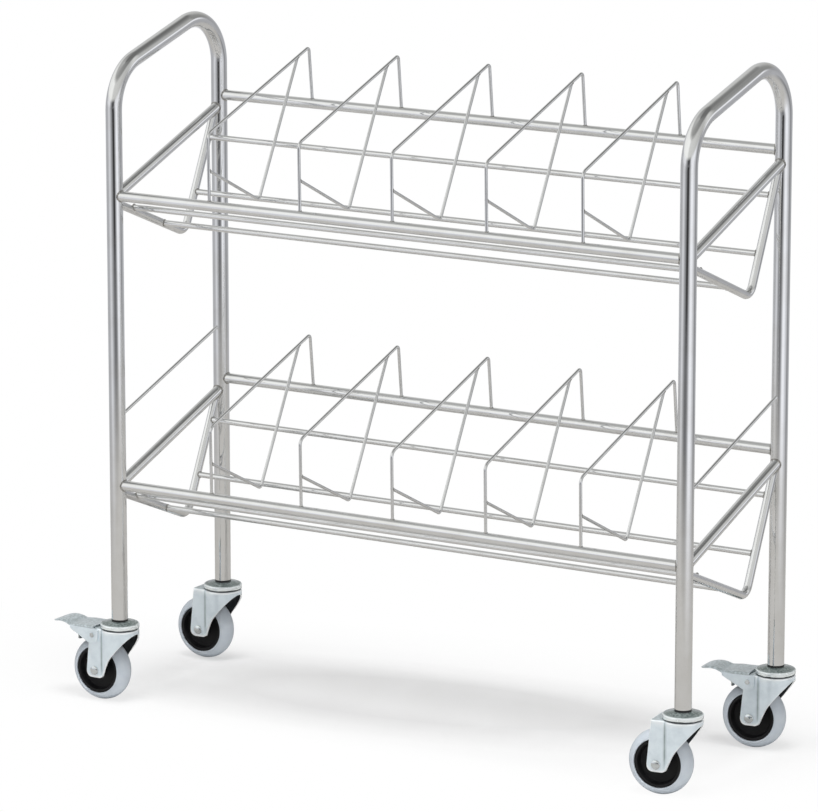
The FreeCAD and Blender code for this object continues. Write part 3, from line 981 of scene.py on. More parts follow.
@dataclass
class Tier:
    """One tier: rails and sloping side tubes, V brackets, rods and wire dividers."""

    rack: RackSizes
    level: Level
    side_front_rise: float = -2.0
    side_rear_rise: float = 101.0
    bracket_radius: float = 6.35
    bracket_front_drop: float = 10.5
    bracket_corner_y: float = 45.0
    bracket_corner_drop: float = 87.0
    bracket_rear_rise: float = 123.0
    bracket_bend: float = 19.0
    bracket_step: float = 3.0
    rod_radius: float = 4.5
    rod_saddle: float = 2.0
    ramp_rod_y: float = -100.0
    ramp_rod_lift: float = 4.2
    corner_rod_y: float = -18.0
    low_back_rise: float = -27.0
    mid_back_rise: float = 54.0
    weld_radius: float = 1.5
    rod_weld_radius: float = 1.2
    tube_weld_waves: int = 18
    bracket_weld_waves: int = 14
    rod_weld_waves: int = 12
    tube_sides: int = 40
    bracket_sides: int = 32
    rod_sides: int = 28
    dividers: int = 5
    divider_pitch: float = 162.0

    def name(self, part: str) -> str:
        """A node's name in this tier."""
        return self.level.name.lower() + "_" + part

    def point(self, x: float, y: float, rise: float) -> Vector:
        """A point whose height counts from the front rail."""
        return Vector((x, y, self.rack.tier_z(self.level) + rise))

    def rail(self, rear: bool) -> Barrel:
        """The front or rear rail as a barrel."""
        rise = self.rack.rear_rail_rise if rear else 0.0
        return Barrel(self.point(0, self.rack.leg_y(rear), rise), X_AXIS, self.rack.rail_radius)

    def side_ends(self, side: Side) -> tuple[Vector, Vector]:
        """Ends of a side tube's axis.

        Args:
            side: the end of the rack.

        Returns:
            The front and the rear end, on the leg axes.
        """
        x = self.rack.end_x(side)
        return (self.point(x, self.rack.leg_y(False), self.side_front_rise),
                self.point(x, self.rack.leg_y(True), self.side_rear_rise))

    def bracket_corners(self, side: Side) -> list[Vector]:
        """Corners of a V bracket's axis.

        Args:
            side: the end of the rack.

        Returns:
            The front end, the low corner and the rear end.
        """
        x = self.rack.end_x(side)
        return [self.point(x, self.rack.leg_y(False), -self.bracket_front_drop),
                self.point(x, self.bracket_corner_y, -self.bracket_corner_drop),
                self.point(x, self.rack.leg_y(True), self.bracket_rear_rise)]

    def bracket_barrels(self, side: Side) -> list[Barrel]:
        """The two straight runs of a V bracket as barrels."""
        low, corner, high = self.bracket_corners(side)
        return [Barrel(corner, (end - corner).normalized(), self.bracket_radius) for end in (low, high)]

    def brackets(self, shop: Paintshop, welds: Draft) -> None:
        """Draw both V brackets.

        Args:
            shop: where they get their finish.
            welds: draft that gathers the weld beads.
        """
        for side in Side:
            front, rear = self.side_ends(side)
            tube = Barrel(front, (rear - front).normalized(), self.rack.rail_radius)
            line = bent_line(self.bracket_corners(side), [self.bracket_bend], self.bracket_step)
            draft = Draft()
            loops = draft.rod(line, X_AXIS, self.bracket_radius, self.bracket_sides,
                              [self.rack.leg(side, False)], [self.rack.leg(side, True), tube])
            for loop, station, sign in zip(loops, (line[0], line[-1]), (1, -1)):
                welds.bead(loop, station.heading * sign, self.weld_radius, self.bracket_weld_waves)
            node = self.name(side.name.lower() + "_cradle")
            shop.dress(put(draft.piece(node + "_bracket"), "rack", "chrome", node), CHROME)

    def tube_welds(self, welds: Draft) -> None:
        """Beads where the rails and side tubes meet the legs.

        Args:
            welds: draft that gathers the beads.
        """
        radius = self.rack.rail_radius
        for side in Side:
            outward = X_AXIS * side.value
            for rear in (False, True):
                base = circle(Station(self.rail(rear).point, X_AXIS), Y_AXIS, radius, self.tube_sides)
                loop = coped(base, outward, self.rack.span_x / 2, [self.rack.leg(side, rear)])
                welds.bead(loop, outward, self.weld_radius, self.tube_weld_waves)
            front_end, rear_end = self.side_ends(side)
            uphill = (rear_end - front_end).normalized()
            base = circle(Station((front_end + rear_end) / 2, uphill), X_AXIS, radius, self.tube_sides)
            for heading, rear in ((-uphill, False), (uphill, True)):
                loop = coped(base, heading, self.rack.span_y, [self.rack.leg(side, rear)])
                welds.bead(loop, heading, self.weld_radius, self.tube_weld_waves)

    def rod_places(self) -> list[Pair]:
        """Where the four rods run.

        Returns:
            Y and rise of each rod.
        """
        low, corner, high = self.bracket_corners(Side.LEFT)
        base = self.rack.tier_z(self.level)

        def on_ramp(y: float) -> float:
            """Rise of the bracket's front run at a depth."""
            return low.z + (corner.z - low.z) * (y - low.y) / (corner.y - low.y) - base

        def on_back(rise: float) -> float:
            """Depth of the bracket's steep run at a rise."""
            return corner.y + (high.y - corner.y) * (rise + base - corner.z) / (high.z - corner.z)

        return [(self.ramp_rod_y, on_ramp(self.ramp_rod_y) + self.ramp_rod_lift),
                (self.corner_rod_y, on_ramp(self.corner_rod_y)),
                (on_back(self.low_back_rise), self.low_back_rise),
                (on_back(self.mid_back_rise), self.mid_back_rise)]

    def rod_welds(self, welds: Draft) -> None:
        """Beads where the rods meet the V brackets.

        Args:
            welds: draft that gathers the beads.
        """
        for y, rise in self.rod_places():
            for side in Side:
                outward = X_AXIS * side.value
                base = circle(Station(self.point(0, y, rise), X_AXIS), Y_AXIS, self.rod_radius,
                              self.rod_sides)
                end = self.rack.span_x / 2 - self.bracket_radius + self.rod_saddle
                loop = coped(base, outward, end, self.bracket_barrels(side))
                welds.bead(loop, outward, self.rod_weld_radius, self.rod_weld_waves)

    def build(self, shop: Paintshop) -> None:
        """Build and dress the whole tier.

        Args:
            shop: where the pieces get their finish.
        """
        welds = Draft()
        self.brackets(shop, welds)
        self.tube_welds(welds)
        self.rod_welds(welds)
        for number in range(1, self.dividers + 1):
            x = (number - (self.dividers + 1) / 2) * self.divider_pitch
            WireDivider(self, x).build(self.name("divider_" + str(number)), shop, welds)
        shop.dress(put(welds.piece(self.name("weld_beads")), "rack", "chrome"), WELD_CHROME)
        for part in ("front_rail", "rear_rail", "left_side_tube", "right_side_tube", "ramp_rod",
                     "corner_rod", "low_back_rod", "mid_back_rod"):
            shop.dress_node(self.name(part), CHROME)


@dataclass
class WireDivider:
    """A wire hoop that stands on both rails, with a stay welded inside it."""

    tier: Tier
    x: float
    radius: float = 2.4
    tip_y: float = 135.5
    tip_rise: float = 206.0
    tip_bend: float = 5.0
    front_y: float = -148.0
    front_rise: float = 110.5
    front_bend: float = 12.0
    stay_top_y: float = 103.0
    stay_corner_y: float = -8.5
    stay_corner_drop: float = 11.5
    stay_bend: float = 6.0
    stay_front_rise: float = 55.0
    bend_step: float = 9.0
    weld_radius: float = 0.825
    weld_waves: int = 7
    sides: int = 20

    def hoop_corners(self) -> list[Vector]:
        """Corners of the hoop's line.

        Returns:
            Its place on the rear rail, its tip, its front bend and its place on the front rail.
        """
        rack = self.tier.rack
        spots = [(rack.leg_y(True), rack.rear_rail_rise), (self.tip_y, self.tip_rise),
                 (self.front_y, self.front_rise), (rack.leg_y(False), 0.0)]
        return [self.tier.point(self.x, y, rise) for y, rise in spots]

    def stay_corners(self) -> list[Vector]:
        """Corners of the stay's line.

        Returns:
            Its top and, after its low corner, its front end, both on the hoop's own lines.
        """
        _, tip, bend, foot = self.hoop_corners()
        slant = (self.stay_top_y - bend.y) / (tip.y - bend.y)
        upright = self.stay_front_rise / self.front_rise
        return [bend.lerp(tip, slant), self.tier.point(self.x, self.stay_corner_y, -self.stay_corner_drop),
                foot.lerp(bend, upright)]

    def build(self, node: str, shop: Paintshop, welds: Draft) -> None:
        """Draw hoop and stay in place of the node.

        Args:
            node: name of the frame node.
            shop: where it gets its finish.
            welds: draft that gathers the weld beads.
        """
        draft = Draft()
        _, tip, bend, foot = self.hoop_corners()
        slant, upright = (Barrel(bend, (end - bend).normalized(), self.radius) for end in (tip, foot))
        hoop = bent_line(self.hoop_corners(), [self.tip_bend, self.front_bend], self.bend_step)
        stay = bent_line(self.stay_corners(), [self.stay_bend], self.bend_step)
        for line, start, end in ((hoop, self.tier.rail(True), self.tier.rail(False)),
                                 (stay, slant, upright)):
            loops = draft.rod(line, X_AXIS, self.radius, self.sides, [start], [end])
            for loop, station, sign in zip(loops, (line[0], line[-1]), (1, -1)):
                welds.bead(loop, station.heading * sign, self.weld_radius, self.weld_waves)
        shop.dress(put(draft.piece(node + "_wire"), "rack", "chrome", node), WIRE_CHROME)


# ---------------------------------------------------------------- casters
@dataclass
class WheelSizes:
    """Sizes that the caster's pieces share."""

    wheel_radius: float = 50.0
    trail: float = 33.0
    half_width: float = 23.0
    sheet: float = 2.5
    top_z: float = 118.0
    brake_back: float = 35.5

    def axle(self) -> Vector:
        """Centre of the wheel."""
        return Vector((self.trail, 0, self.wheel_radius))


@dataclass
class Wheel:
    """A black hub and the round rubber tyre that sits on it."""

    sizes: WheelSizes
    tread: float = 18.0
    hub_radius: float = 37.0
    hub_half: float = 15.5
    rim_depth: float = 4.5
    web_half: float = 5.0
    boss_radius: float = 11.0
    web_slope: float = 2.0
    hub_bore: float = 4.05
    hub_rounds: tuple[float, ...] = (1.0, 2.5, 2.5, 0.8, 0.8)
    side_gap: float = 0.3
    fit: float = 0.05
    seat_drop: float = 1.0
    lip_width: float = 2.6
    lip_rise: float = 1.1
    lip_round: float = 1.1
    seam: float = 0.12
    tread_steps: int = 30
    sides: int = 96

    def tyre_profile(self) -> list[Pair]:
        """Outline of the tyre: seat, raised side lips, round tread and a fine mould seam.

        Returns:
            Its (radius, height) points.
        """
        middle = self.sizes.wheel_radius - self.tread
        seat = self.hub_radius + self.fit
        brim = seat + self.lip_width
        lip = math.asin((brim - middle) / self.tread)
        flank = self.tread * math.cos(lip)
        bead = rounded([(seat, flank - self.seat_drop), (seat, flank + self.lip_rise),
                        (brim, flank + self.lip_rise), (brim, flank)], [self.lip_round] * 2)[:-1]
        reach = self.tread - self.seam
        angles = [lip + (math.pi - 2 * lip) * step / self.tread_steps
                  for step in range(self.tread_steps + 1)]
        tread = [(middle + reach * math.sin(angle), reach * math.cos(angle)) for angle in angles]
        tread[self.tread_steps // 2] = (self.sizes.wheel_radius, 0.0)
        return bead + tread + flipped(bead)

    def hub_profile(self) -> list[Pair]:
        """Outline of the hub: boss, dished web and rim.

        Returns:
            Its (radius, height) points.
        """
        boss = self.sizes.half_width - self.sizes.sheet - self.side_gap
        rim = self.hub_radius - self.rim_depth
        side = rounded([(self.hub_bore, boss), (self.boss_radius, boss),
                        (self.boss_radius + self.web_slope, self.web_half),
                        (rim - self.web_slope, self.web_half), (rim, self.hub_half),
                        (self.hub_radius, self.hub_half), (self.hub_radius, 0.0)], self.hub_rounds)
        return side + flipped(side[:-1])

    def build(self, shop: Paintshop, tag: str, where: Matrix) -> None:
        """Draw tyre and hub in place of their nodes.

        Args:
            shop: where they get their finishes.
            tag: start of the caster's names.
            where: the caster's place.
        """
        for profile, ending, part, finish in ((self.tyre_profile(), "_ring", "tyre", TYRE_RUBBER),
                                              (self.hub_profile(), "_disc", "hub", HUB_NYLON)):
            draft = Draft()
            draft.lathe(profile, Y_AXIS, Z_AXIS, self.sizes.axle(), self.sides)
            piece = draft.piece(tag + part + ending, where)
            shop.dress(put(piece, tag + "wheel", part, tag + part), finish)


@dataclass
class SwivelHead:
    """The fixed upper race: domed cap, stem, king pin and its rivet head."""

    sizes: WheelSizes
    radius: float = 30.3
    sheet: float = 2.4
    gap: float = 1.2
    fit: float = 0.05
    rim_height: float = 7.0
    slope_run: float = 5.0
    slope_drop: float = 1.4
    flat_radius: float = 14.0
    top_z: float = 129.8
    ceiling_z: float = 122.9
    king_radius: float = 6.0
    rivet_radius: float = 10.0
    rivet_height: float = 3.0
    rivet_rounds: tuple[float, ...] = (2.2, 0.6)
    shell_rounds: tuple[float, ...] = (1.0, 0.4, 0.5, 2.6, 6.0, 1.0)
    stem_radius: float = 5.5
    stem_length: float = 32.0
    stem_round: float = 1.0
    sides: int = 96

    def profile(self) -> list[Pair]:
        """Outline of the head: rivet, shell and stem.

        Returns:
            Its (radius, height) points from the foot of the rivet to the top of the stem.
        """
        base = self.sizes.top_z + self.gap
        inner = self.radius - self.sheet
        rim = base + self.rim_height
        flat = self.top_z - self.fit
        rivet_top = self.sizes.top_z - self.sizes.sheet - self.fit
        rivet_foot = rivet_top - self.rivet_height
        stem_top = self.top_z + self.stem_length
        rivet = rounded([(0, rivet_foot), (self.rivet_radius, rivet_foot), (self.rivet_radius, rivet_top),
                         (self.king_radius, rivet_top)], self.rivet_rounds)
        shell = rounded([(self.king_radius, self.ceiling_z), (inner, self.ceiling_z), (inner, base),
                         (self.radius, base), (self.radius, rim),
                         (self.flat_radius + self.slope_run, self.top_z - self.slope_drop),
                         (self.flat_radius, flat), (self.stem_radius, flat)], self.shell_rounds)
        stem = rounded([(self.stem_radius, flat), (self.stem_radius, stem_top), (0, stem_top)],
                       [self.stem_round])
        return rivet + shell + stem

    def build(self, shop: Paintshop, tag: str, where: Matrix) -> None:
        """Draw the head in place of its node.

        Args:
            shop: where it gets its finish.
            tag: start of the caster's names.
            where: the caster's place.
        """
        draft = Draft()
        draft.skin(spun(self.profile(), Z_AXIS, X_AXIS, Vector(), self.sides))
        piece = draft.piece(tag + "swivel_cap", where)
        shop.dress(put(piece, "rack", "zinc", tag + "swivel_head"), CAP_ZINC)


@dataclass
class Fork:
    """The pressed fork: a round skirt and crown that run into two flat cheeks."""

    sizes: WheelSizes
    skirt_radius: float = 30.0
    crease: float = 3.0
    tail: float = 41.0
    end_half: float = 14.5
    end_drop: float = 11.0
    end_taper: float = 1.0
    end_round: float = 9.0
    tail_round: float = 12.0
    knee_x: float = 3.0
    knee_z: float = 70.5
    knee_round: float = 60.0
    front_drop: float = 7.5
    top_round: float = 3.0
    edge_round: float = 0.5
    inside: tuple[float, float, float] = (10.0, 0.0, 95.0)
    rows: int = 16
    bend_step: float = 4.0
    edge_spacing: float = 1.5
    crease_steps: int = 6
    skirt_steps: int = 40
    top_steps: int = 5
    cheek_rise: float = 4.0
    # strengths and reaches of the painted highlights on edges and shoulder and of the painted shade in the
    # crease
    rubbed: float = 0.9
    rubbed_tail: float = 1.4
    rubbed_shoulder: float = 0.75
    shoulder_reach: float = 2.5
    soiled: float = 0.95
    soiled_reach: float = 6.0
    soiled_foot: float = 4.0

    def outline(self) -> list[Vector]:
        """The lower edge seen from the side.

        Returns:
            Its points from the trailing edge forward, closely spaced.
        """
        low = self.sizes.wheel_radius - self.end_drop
        centre = self.sizes.trail
        foot_half = self.end_half - self.end_taper
        corners = [Vector((x, 0, z)) for x, z in (
            (self.tail, self.sizes.top_z), (centre + self.end_half, self.sizes.wheel_radius),
            (centre + foot_half, low), (centre - foot_half, low), (self.knee_x, self.knee_z),
            (-self.skirt_radius, self.sizes.top_z - self.front_drop))]
        radii = [self.tail_round, self.end_round, self.end_round, self.knee_round]
        points = [station.point for station in bent_line(corners, radii, self.bend_step)]
        dense = []
        for before, after in zip(points, points[1:]):
            parts = max(1, int((after - before).length / self.edge_spacing))
            dense.extend(before.lerp(after, index / parts) for index in range(parts))
        return dense + [points[-1]]

    def plan(self) -> list[tuple[Vector, Vector]]:
        """The skirt's near half seen from above.

        Returns:
            Its points, from the crease to the front, with their outward directions.
        """
        centre_y = self.sizes.half_width + self.crease
        centre_x = math.sqrt((self.skirt_radius + self.crease) ** 2 - centre_y ** 2)
        meet = math.atan2(centre_y, centre_x)
        found = []
        for step in range(self.crease_steps + 1):
            angle = -math.pi / 2 - (math.pi / 2 - meet) * step / self.crease_steps
            normal = Vector((-math.cos(angle), -math.sin(angle), 0))
            found.append((Vector((centre_x, centre_y, 0)) - normal * self.crease, normal))
        for step in range(1, self.skirt_steps + 1):
            angle = meet + (math.pi - meet) * step / self.skirt_steps
            normal = Vector((math.cos(angle), math.sin(angle), 0))
            found.append((normal * self.skirt_radius, normal))
        return found

    def column(self, foot: Vector, head: Vector, normal: Vector) -> list[Vector]:
        """One column of the skin, from the lower edge up and over the top rounding.

        Args:
            foot: point on the lower edge.
            head: point below the top rounding.
            normal: outward direction there.

        Returns:
            The column's points.
        """
        points = [foot.lerp(head, index / self.rows) for index in range(self.rows + 1)]
        for step in range(1, self.top_steps + 1):
            angle = math.pi / 2 * step / self.top_steps
            shift = normal * (self.top_round * (1 - math.cos(angle)))
            points.append(head - shift + Z_AXIS * (self.top_round * math.sin(angle)))
        return points

    def near_columns(self) -> list[list[Vector]]:
        """The near half of the skin.

        Returns:
            Its columns, from the trailing edge to the front.
        """
        edge = self.outline()
        plan = self.plan()
        crease_x = plan[0][0].x
        shoulder = self.sizes.top_z - self.top_round
        cheek_z = self.sizes.wheel_radius + self.cheek_rise
        corner = next(index for index, point in enumerate(edge) if point.z < cheek_z)
        turn = next(index for index in range(corner, len(edge)) if edge[index].x <= crease_x)
        across = Y_AXIS * self.sizes.half_width
        columns = []
        span = turn - corner
        slant = (edge[corner].x - self.tail) * self.top_round / (self.sizes.top_z - edge[corner].z)
        start_x = self.tail + slant
        for index in range(0, span, 2):
            foot = edge[corner + index] + across
            head = Vector((start_x + (crease_x - start_x) * index / span, across.y, shoulder))
            columns.append(self.column(foot, head, Y_AXIS))
        for point, normal in plan:
            foot = Vector((point.x, point.y, self.height_at(edge[turn - 1:], point.x)))
            columns.append(self.column(foot, Vector((point.x, point.y, shoulder)), normal))
        return columns

    @staticmethod
    def height_at(edge: Sequence[Vector], x: float) -> float:
        """Height of the lower edge where it passes x.

        Args:
            edge: the lower edge, running forward.
            x: place along the caster.

        Returns:
            The height.
        """
        for before, after in zip(edge, edge[1:]):
            if after.x <= x <= before.x:
                share = (before.x - x) / max(before.x - after.x, TINY)
                return before.z + (after.z - before.z) * share
        return edge[-1].z

    def draft(self) -> Draft:
        """The fork's outer skin.

        Returns:
            The draft of the skin, without the sheet's thickness.
        """
        near = self.near_columns()
        far = [[Vector((point.x, -point.y, point.z)) for point in column] for column in near]
        draft = Draft()
        near_rows = draft.skin(near, closed=False)
        far_rows = draft.skin(far, closed=False)
        for rows in (near_rows, far_rows):
            self.mark(draft, rows)
        tops = [(one[-1], other[-1]) for one, other in zip(near_rows, far_rows)]
        for (one, other), (one_ahead, other_ahead) in zip(tops, tops[1:]):
            draft.faces.append((one, one_ahead, other_ahead, other))
        return draft

    def mark(self, draft: Draft, columns: Sequence[Sequence[int]]) -> None:
        """Paint highlights along the lower and trailing edges and the top shoulder, and painted shade along
        the crease.

        Args:
            draft: the draft that holds the columns.
            columns: point numbers of one half's columns, from the trailing edge to the front.
        """
        crease = len(columns) - len(self.plan()) + self.crease_steps // 2
        for number, column in enumerate(columns):
            crease_shade = self.soiled * max(0.0, 1 - abs(number - crease) / self.soiled_reach)
            for row, index in enumerate(column):
                edge = self.rubbed * max(0.0, 1 - min(row, self.rubbed_tail * number))
                shoulder = max(0.0, 1 - abs(row - self.rows - 1) / self.shoulder_reach)
                bright = max(edge, self.rubbed_shoulder * shoulder)
                # painted highlight on edges and shoulder, less painted shade in the crease
                draft.touch[index] = bright - crease_shade * min(1.0, row / self.soiled_foot)

    def build(self, shop: Paintshop, tag: str, where: Matrix) -> None:
        """Draw the fork in place of its node.

        Args:
            shop: where it gets its finish.
            tag: start of the caster's names.
            where: the caster's place.
        """
        piece = put(self.draft().piece(tag + "fork_pressing", where), tag + "caster", "zinc", tag + "fork")
        thicken(piece, self.sizes.sheet, self.edge_round, where @ Vector(self.inside) * MM)
        shop.dress(piece, ZINC)
        # painted shade on the fork's inner side
        shop.line(piece, PAINTED_SHADE_ZINC)


@dataclass
class AxleBolt:
    """The wheel's axle: a bolt with a domed head at one cheek and a nut at the other."""

    sizes: WheelSizes
    radius: float = 4.0
    head_radius: float = 7.5
    head_height: float = 3.4
    head_rim: float = 0.7
    head_edge: float = 0.2
    dome_steps: int = 10
    nut_flats: float = 13.0
    nut_height: float = 5.0
    nut_base_edge: float = 0.4
    nut_base_share: float = 0.95
    nut_top_edge: float = 0.9
    nut_top_share: float = 0.99
    overrun: float = 2.5
    tip_length: float = 0.5
    tip_taper: float = 0.8
    pitch: float = 0.8
    thread_depth: float = 0.35
    seat_gap: float = 0.05
    sides: int = 60

    def bolt_profile(self) -> list[Pair]:
        """Outline of the bolt, with the thread that shows past the nut.

        Returns:
            Its (radius, height) points from the threaded end to the top of the dome.
        """
        face = self.sizes.half_width + self.seat_gap
        nut_top = -face - self.nut_height
        end = nut_top - self.overrun
        root = self.radius - self.thread_depth
        height = end + self.tip_length
        profile = [(0.0, end), (self.radius - self.tip_taper, end), (root, height)]
        while height + self.pitch < nut_top:
            height += self.pitch
            profile += [(self.radius, height - self.pitch / 2), (root, height)]
        profile += [(self.radius, nut_top), (self.radius, face), (self.head_radius - self.head_edge, face),
                    (self.head_radius, face + self.head_edge)]
        dome = self.head_height - self.head_rim
        for step in range(self.dome_steps + 1):
            angle = math.pi / 2 * step / self.dome_steps
            profile.append((self.head_radius * math.cos(angle),
                            face + self.head_rim + dome * math.sin(angle)))
        return profile

    def nut_row(self, height: float, limit: float) -> list[Vector]:
        """One row of the nut: its hexagon, cut back to a circle.

        Args:
            height: distance of the row from the wheel's middle.
            limit: radius of the circle.

        Returns:
            The row's points.
        """
        centre = self.sizes.axle() - Y_AXIS * height
        row = []
        for turn in full_turn(self.sides):
            reach = min(limit, self.nut_flats / 2 / math.cos(turn % (math.pi / 3) - math.pi / 6))
            row.append(centre + X_AXIS * (reach * math.cos(turn)) + Z_AXIS * (reach * math.sin(turn)))
        return row

    def nut_rows(self) -> list[Pair]:
        """Heights of the nut's rows, with the circle that each is cut back to.

        Returns:
            The (height, radius) of each row from the bore's foot to its top.
        """
        low = self.sizes.half_width + self.seat_gap
        high = low + self.nut_height
        corner = self.nut_flats / math.sqrt(3)
        bore = self.radius + self.seat_gap
        return [(low, bore), (low, self.nut_base_share * corner), (low + self.nut_base_edge, corner),
                (high - self.nut_top_edge, corner), (high, self.nut_top_share * self.nut_flats / 2),
                (high, bore)]

    def build(self, shop: Paintshop, tag: str, where: Matrix) -> None:
        """Draw bolt and nut in place of their node.

        Args:
            shop: where they get their finish.
            tag: start of the caster's names.
            where: the caster's place.
        """
        draft = Draft()
        draft.skin(spun(self.bolt_profile(), Y_AXIS, Z_AXIS, self.sizes.axle(), self.sides))
        numbered = draft.skin([self.nut_row(height, limit) for height, limit in self.nut_rows()])
        draft.bridge(numbered[-1], numbered[0])
        piece = draft.piece(tag + "axle_bolt", where)
        shop.dress(put(piece, tag + "caster", "fastener", tag + "axle"), FASTENER)


@dataclass
class BrakePedal:
    """The pressed brake lever: side plates on the pin, top sheet with a tongue, and a shoe."""

    sizes: WheelSizes
    side_gap: float = 0.3
    sheet: float = 2.0
    edge_round: float = 0.35
    inside: tuple[float, float, float] = (60.0, 0.0, 100.0)
    web_z: float = 121.0
    web_fall: float = 1.5
    front: float = 25.0
    web_front: float = 33.5
    rear: float = 77.0
    side_drop: float = 26.0
    side_taper: float = 4.0
    rear_drop: float = 6.0
    side_rounds: tuple[float, ...] = (6.0, 6.0, 2.0)
    ear: tuple[Pair, ...] = ((0.0, -3.0), (0.4, -1.6), (1.4, -0.5), (3.0, 0.0))
    ear_gap: float = 1.0
    tip_back: float = 117.0
    tip_z: float = 117.5
    crest_back: float = 97.0
    crest_z: float = 124.0
    tip_round: float = 14.0
    tip_share: float = 0.75
    fold: float = 3.0
    tip_fold: float = 0.3
    tip_fold_run: float = 12.0
    shoe_back: float = 60.0
    shoe_z: float = 97.31
    shoe_inset: float = 0.7
    shoe_round: float = 3.0
    bend_step: float = 12.0
    fold_steps: int = 6
    across_steps: int = 10
    web_steps: int = 20
    tongue_steps: int = 46
    side_rows: int = 6

    def outer(self) -> float:
        """Half width over the side plates."""
        return self.sizes.half_width + self.side_gap + self.sheet

    def top_height(self, back: float) -> float:
        """Height of the top sheet: level, then falling a little, then an arched tongue.

        Args:
            back: place along the lever.

        Returns:
            The height there.
        """
        if back <= self.shoe_back:
            return self.web_z
        if back <= self.rear:
            return self.web_z - self.web_fall * (back - self.shoe_back) / (self.rear - self.shoe_back)
        spots = ((self.rear, self.web_z - self.web_fall), (self.crest_back, self.crest_z),
                 (self.tip_back, self.tip_z))
        height = 0.0
        for place, level in spots:
            one, two = (other for other, _ in spots if other != place)
            height += (back - one) * (back - two) / ((place - one) * (place - two)) * level
        return height

    def half_at(self, back: float) -> float:
        """Half width of the top sheet, with the round tip.

        Args:
            back: place along the lever.

        Returns:
            The half width there.
        """
        share = max(back - self.rear, 0.0) / (self.tip_back - self.rear)
        wide = self.outer() * (1 - (1 - self.tip_share) * share)
        into = back - (self.tip_back - self.tip_round)
        if into > 0:
            wide -= self.tip_round - math.sqrt(max(self.tip_round ** 2 - into ** 2, 0.0))
        return wide

    def low_edge(self) -> list[Pair]:
        """Lower outline of a side plate.

        Returns:
            Its points from the front ear to where the tongue leaves the plate.
        """
        low = self.web_z - self.sheet
        return rounded([(self.front, self.web_z - 2 * self.fold),
                        (self.front, low - self.side_drop + self.side_taper),
                        (self.sizes.brake_back + self.side_taper, low - self.side_drop),
                        (self.rear, low - self.rear_drop),
                        (self.rear, self.top_height(self.rear) - self.fold)], self.side_rounds,
                       self.bend_step)

    def section(self, back: float) -> list[Vector]:
        """The top sheet's cross line, with a fold at each edge.

        Args:
            back: place along the lever.

        Returns:
            The line's points there, from the near edge to the far one.
        """
        half = self.half_at(back)
        top = self.top_height(back)
        drop = max(self.fold * min(1.0, (self.tip_back - back) / self.tip_fold_run), self.tip_fold)
        near = []
        for step in range(self.fold_steps + 1):
            angle = math.pi / 2 * step / self.fold_steps
            near.append(Vector((back, half - drop * (1 - math.cos(angle)),
                                top - drop * (1 - math.sin(angle)))))
        flat = [Vector((back, (half - drop) * (1 - 2 * index / self.across_steps), top))
                for index in range(1, self.across_steps)]
        far = [Vector((point.x, -point.y, point.z)) for point in reversed(near)]
        return near + flat + far

    def backs(self) -> list[float]:
        """Places along the lever where its top sheet is drawn.

        Returns:
            The places from the front of the web to the tip, closer towards the tip.
        """
        web = [self.web_front + (self.rear - self.web_front) * index / self.web_steps
               for index in range(self.web_steps + 1)]
        tongue = [self.rear + (self.tip_back - self.rear) * math.sin(math.pi / 2 * index / self.tongue_steps)
                  for index in range(1, self.tongue_steps + 1)]
        return web + tongue

    def plate_top(self) -> list[Pair]:
        """Upper line of a side plate.

        Returns:
            Its points round the front ear, then under the fold of the top sheet.
        """
        seam = self.web_z - self.fold
        ear = [(self.front + ahead, seam + rise) for ahead, rise in self.ear]
        ear.append((self.web_front - self.ear_gap, seam))
        return ear + [(back, self.top_height(back) - self.fold) for back in self.backs()
                      if back <= self.rear]

    @staticmethod
    def along(edge: Sequence[Pair], lengths: Sequence[float], place: float) -> Pair:
        """The point of a line at a distance from its start.

        Args:
            edge: the line's points.
            lengths: distance of each point from the start.
            place: wanted distance.

        Returns:
            The point there.
        """
        for index in range(1, len(edge)):
            if place <= lengths[index] + TINY:
                share = (place - lengths[index - 1]) / max(lengths[index] - lengths[index - 1], TINY)
                (x, z), (x_after, z_after) = edge[index - 1], edge[index]
                return x + (x_after - x) * share, z + (z_after - z) * share
        return edge[-1]

    def lever(self) -> Draft:
        """The lever's outer skin: top sheet and two side plates.

        Returns:
            The draft of the skin, without the sheet's thickness.
        """
        draft = Draft()
        draft.skin([self.section(back) for back in self.backs()], closed=False)
        edge = self.low_edge()
        lengths = [0.0]
        for before, after in zip(edge, edge[1:]):
            lengths.append(lengths[-1] + math.dist(before, after))
        tops = self.plate_top()
        for across in (self.outer(), -self.outer()):
            rows = []
            for index, (back, high) in enumerate(tops):
                low_back, low_z = self.along(edge, lengths, lengths[-1] * index / (len(tops) - 1))
                top = Vector((back, across, high))
                foot = Vector((low_back, across, low_z))
                rows.append([top.lerp(foot, step / self.side_rows) for step in range(self.side_rows + 1)])
            draft.skin(rows, closed=False)
        return draft

    def shoe(self) -> Draft:
        """The shoe plate that is pressed on the tyre.

        Returns:
            The draft of the plate.
        """
        draft = Draft()
        top = self.web_z - self.sheet
        half = self.outer() - self.shoe_inset
        outline = rounded([(-half, top), (-half, self.shoe_z), (half, self.shoe_z), (half, top)],
                          [self.shoe_round] * 2)
        rows = [[Vector((self.shoe_back + shift, y, z)) for y, z in outline] for shift in (0, self.sheet)]
        numbered = draft.skin(rows)
        draft.close(numbered[0])
        draft.close(numbered[1])
        return draft

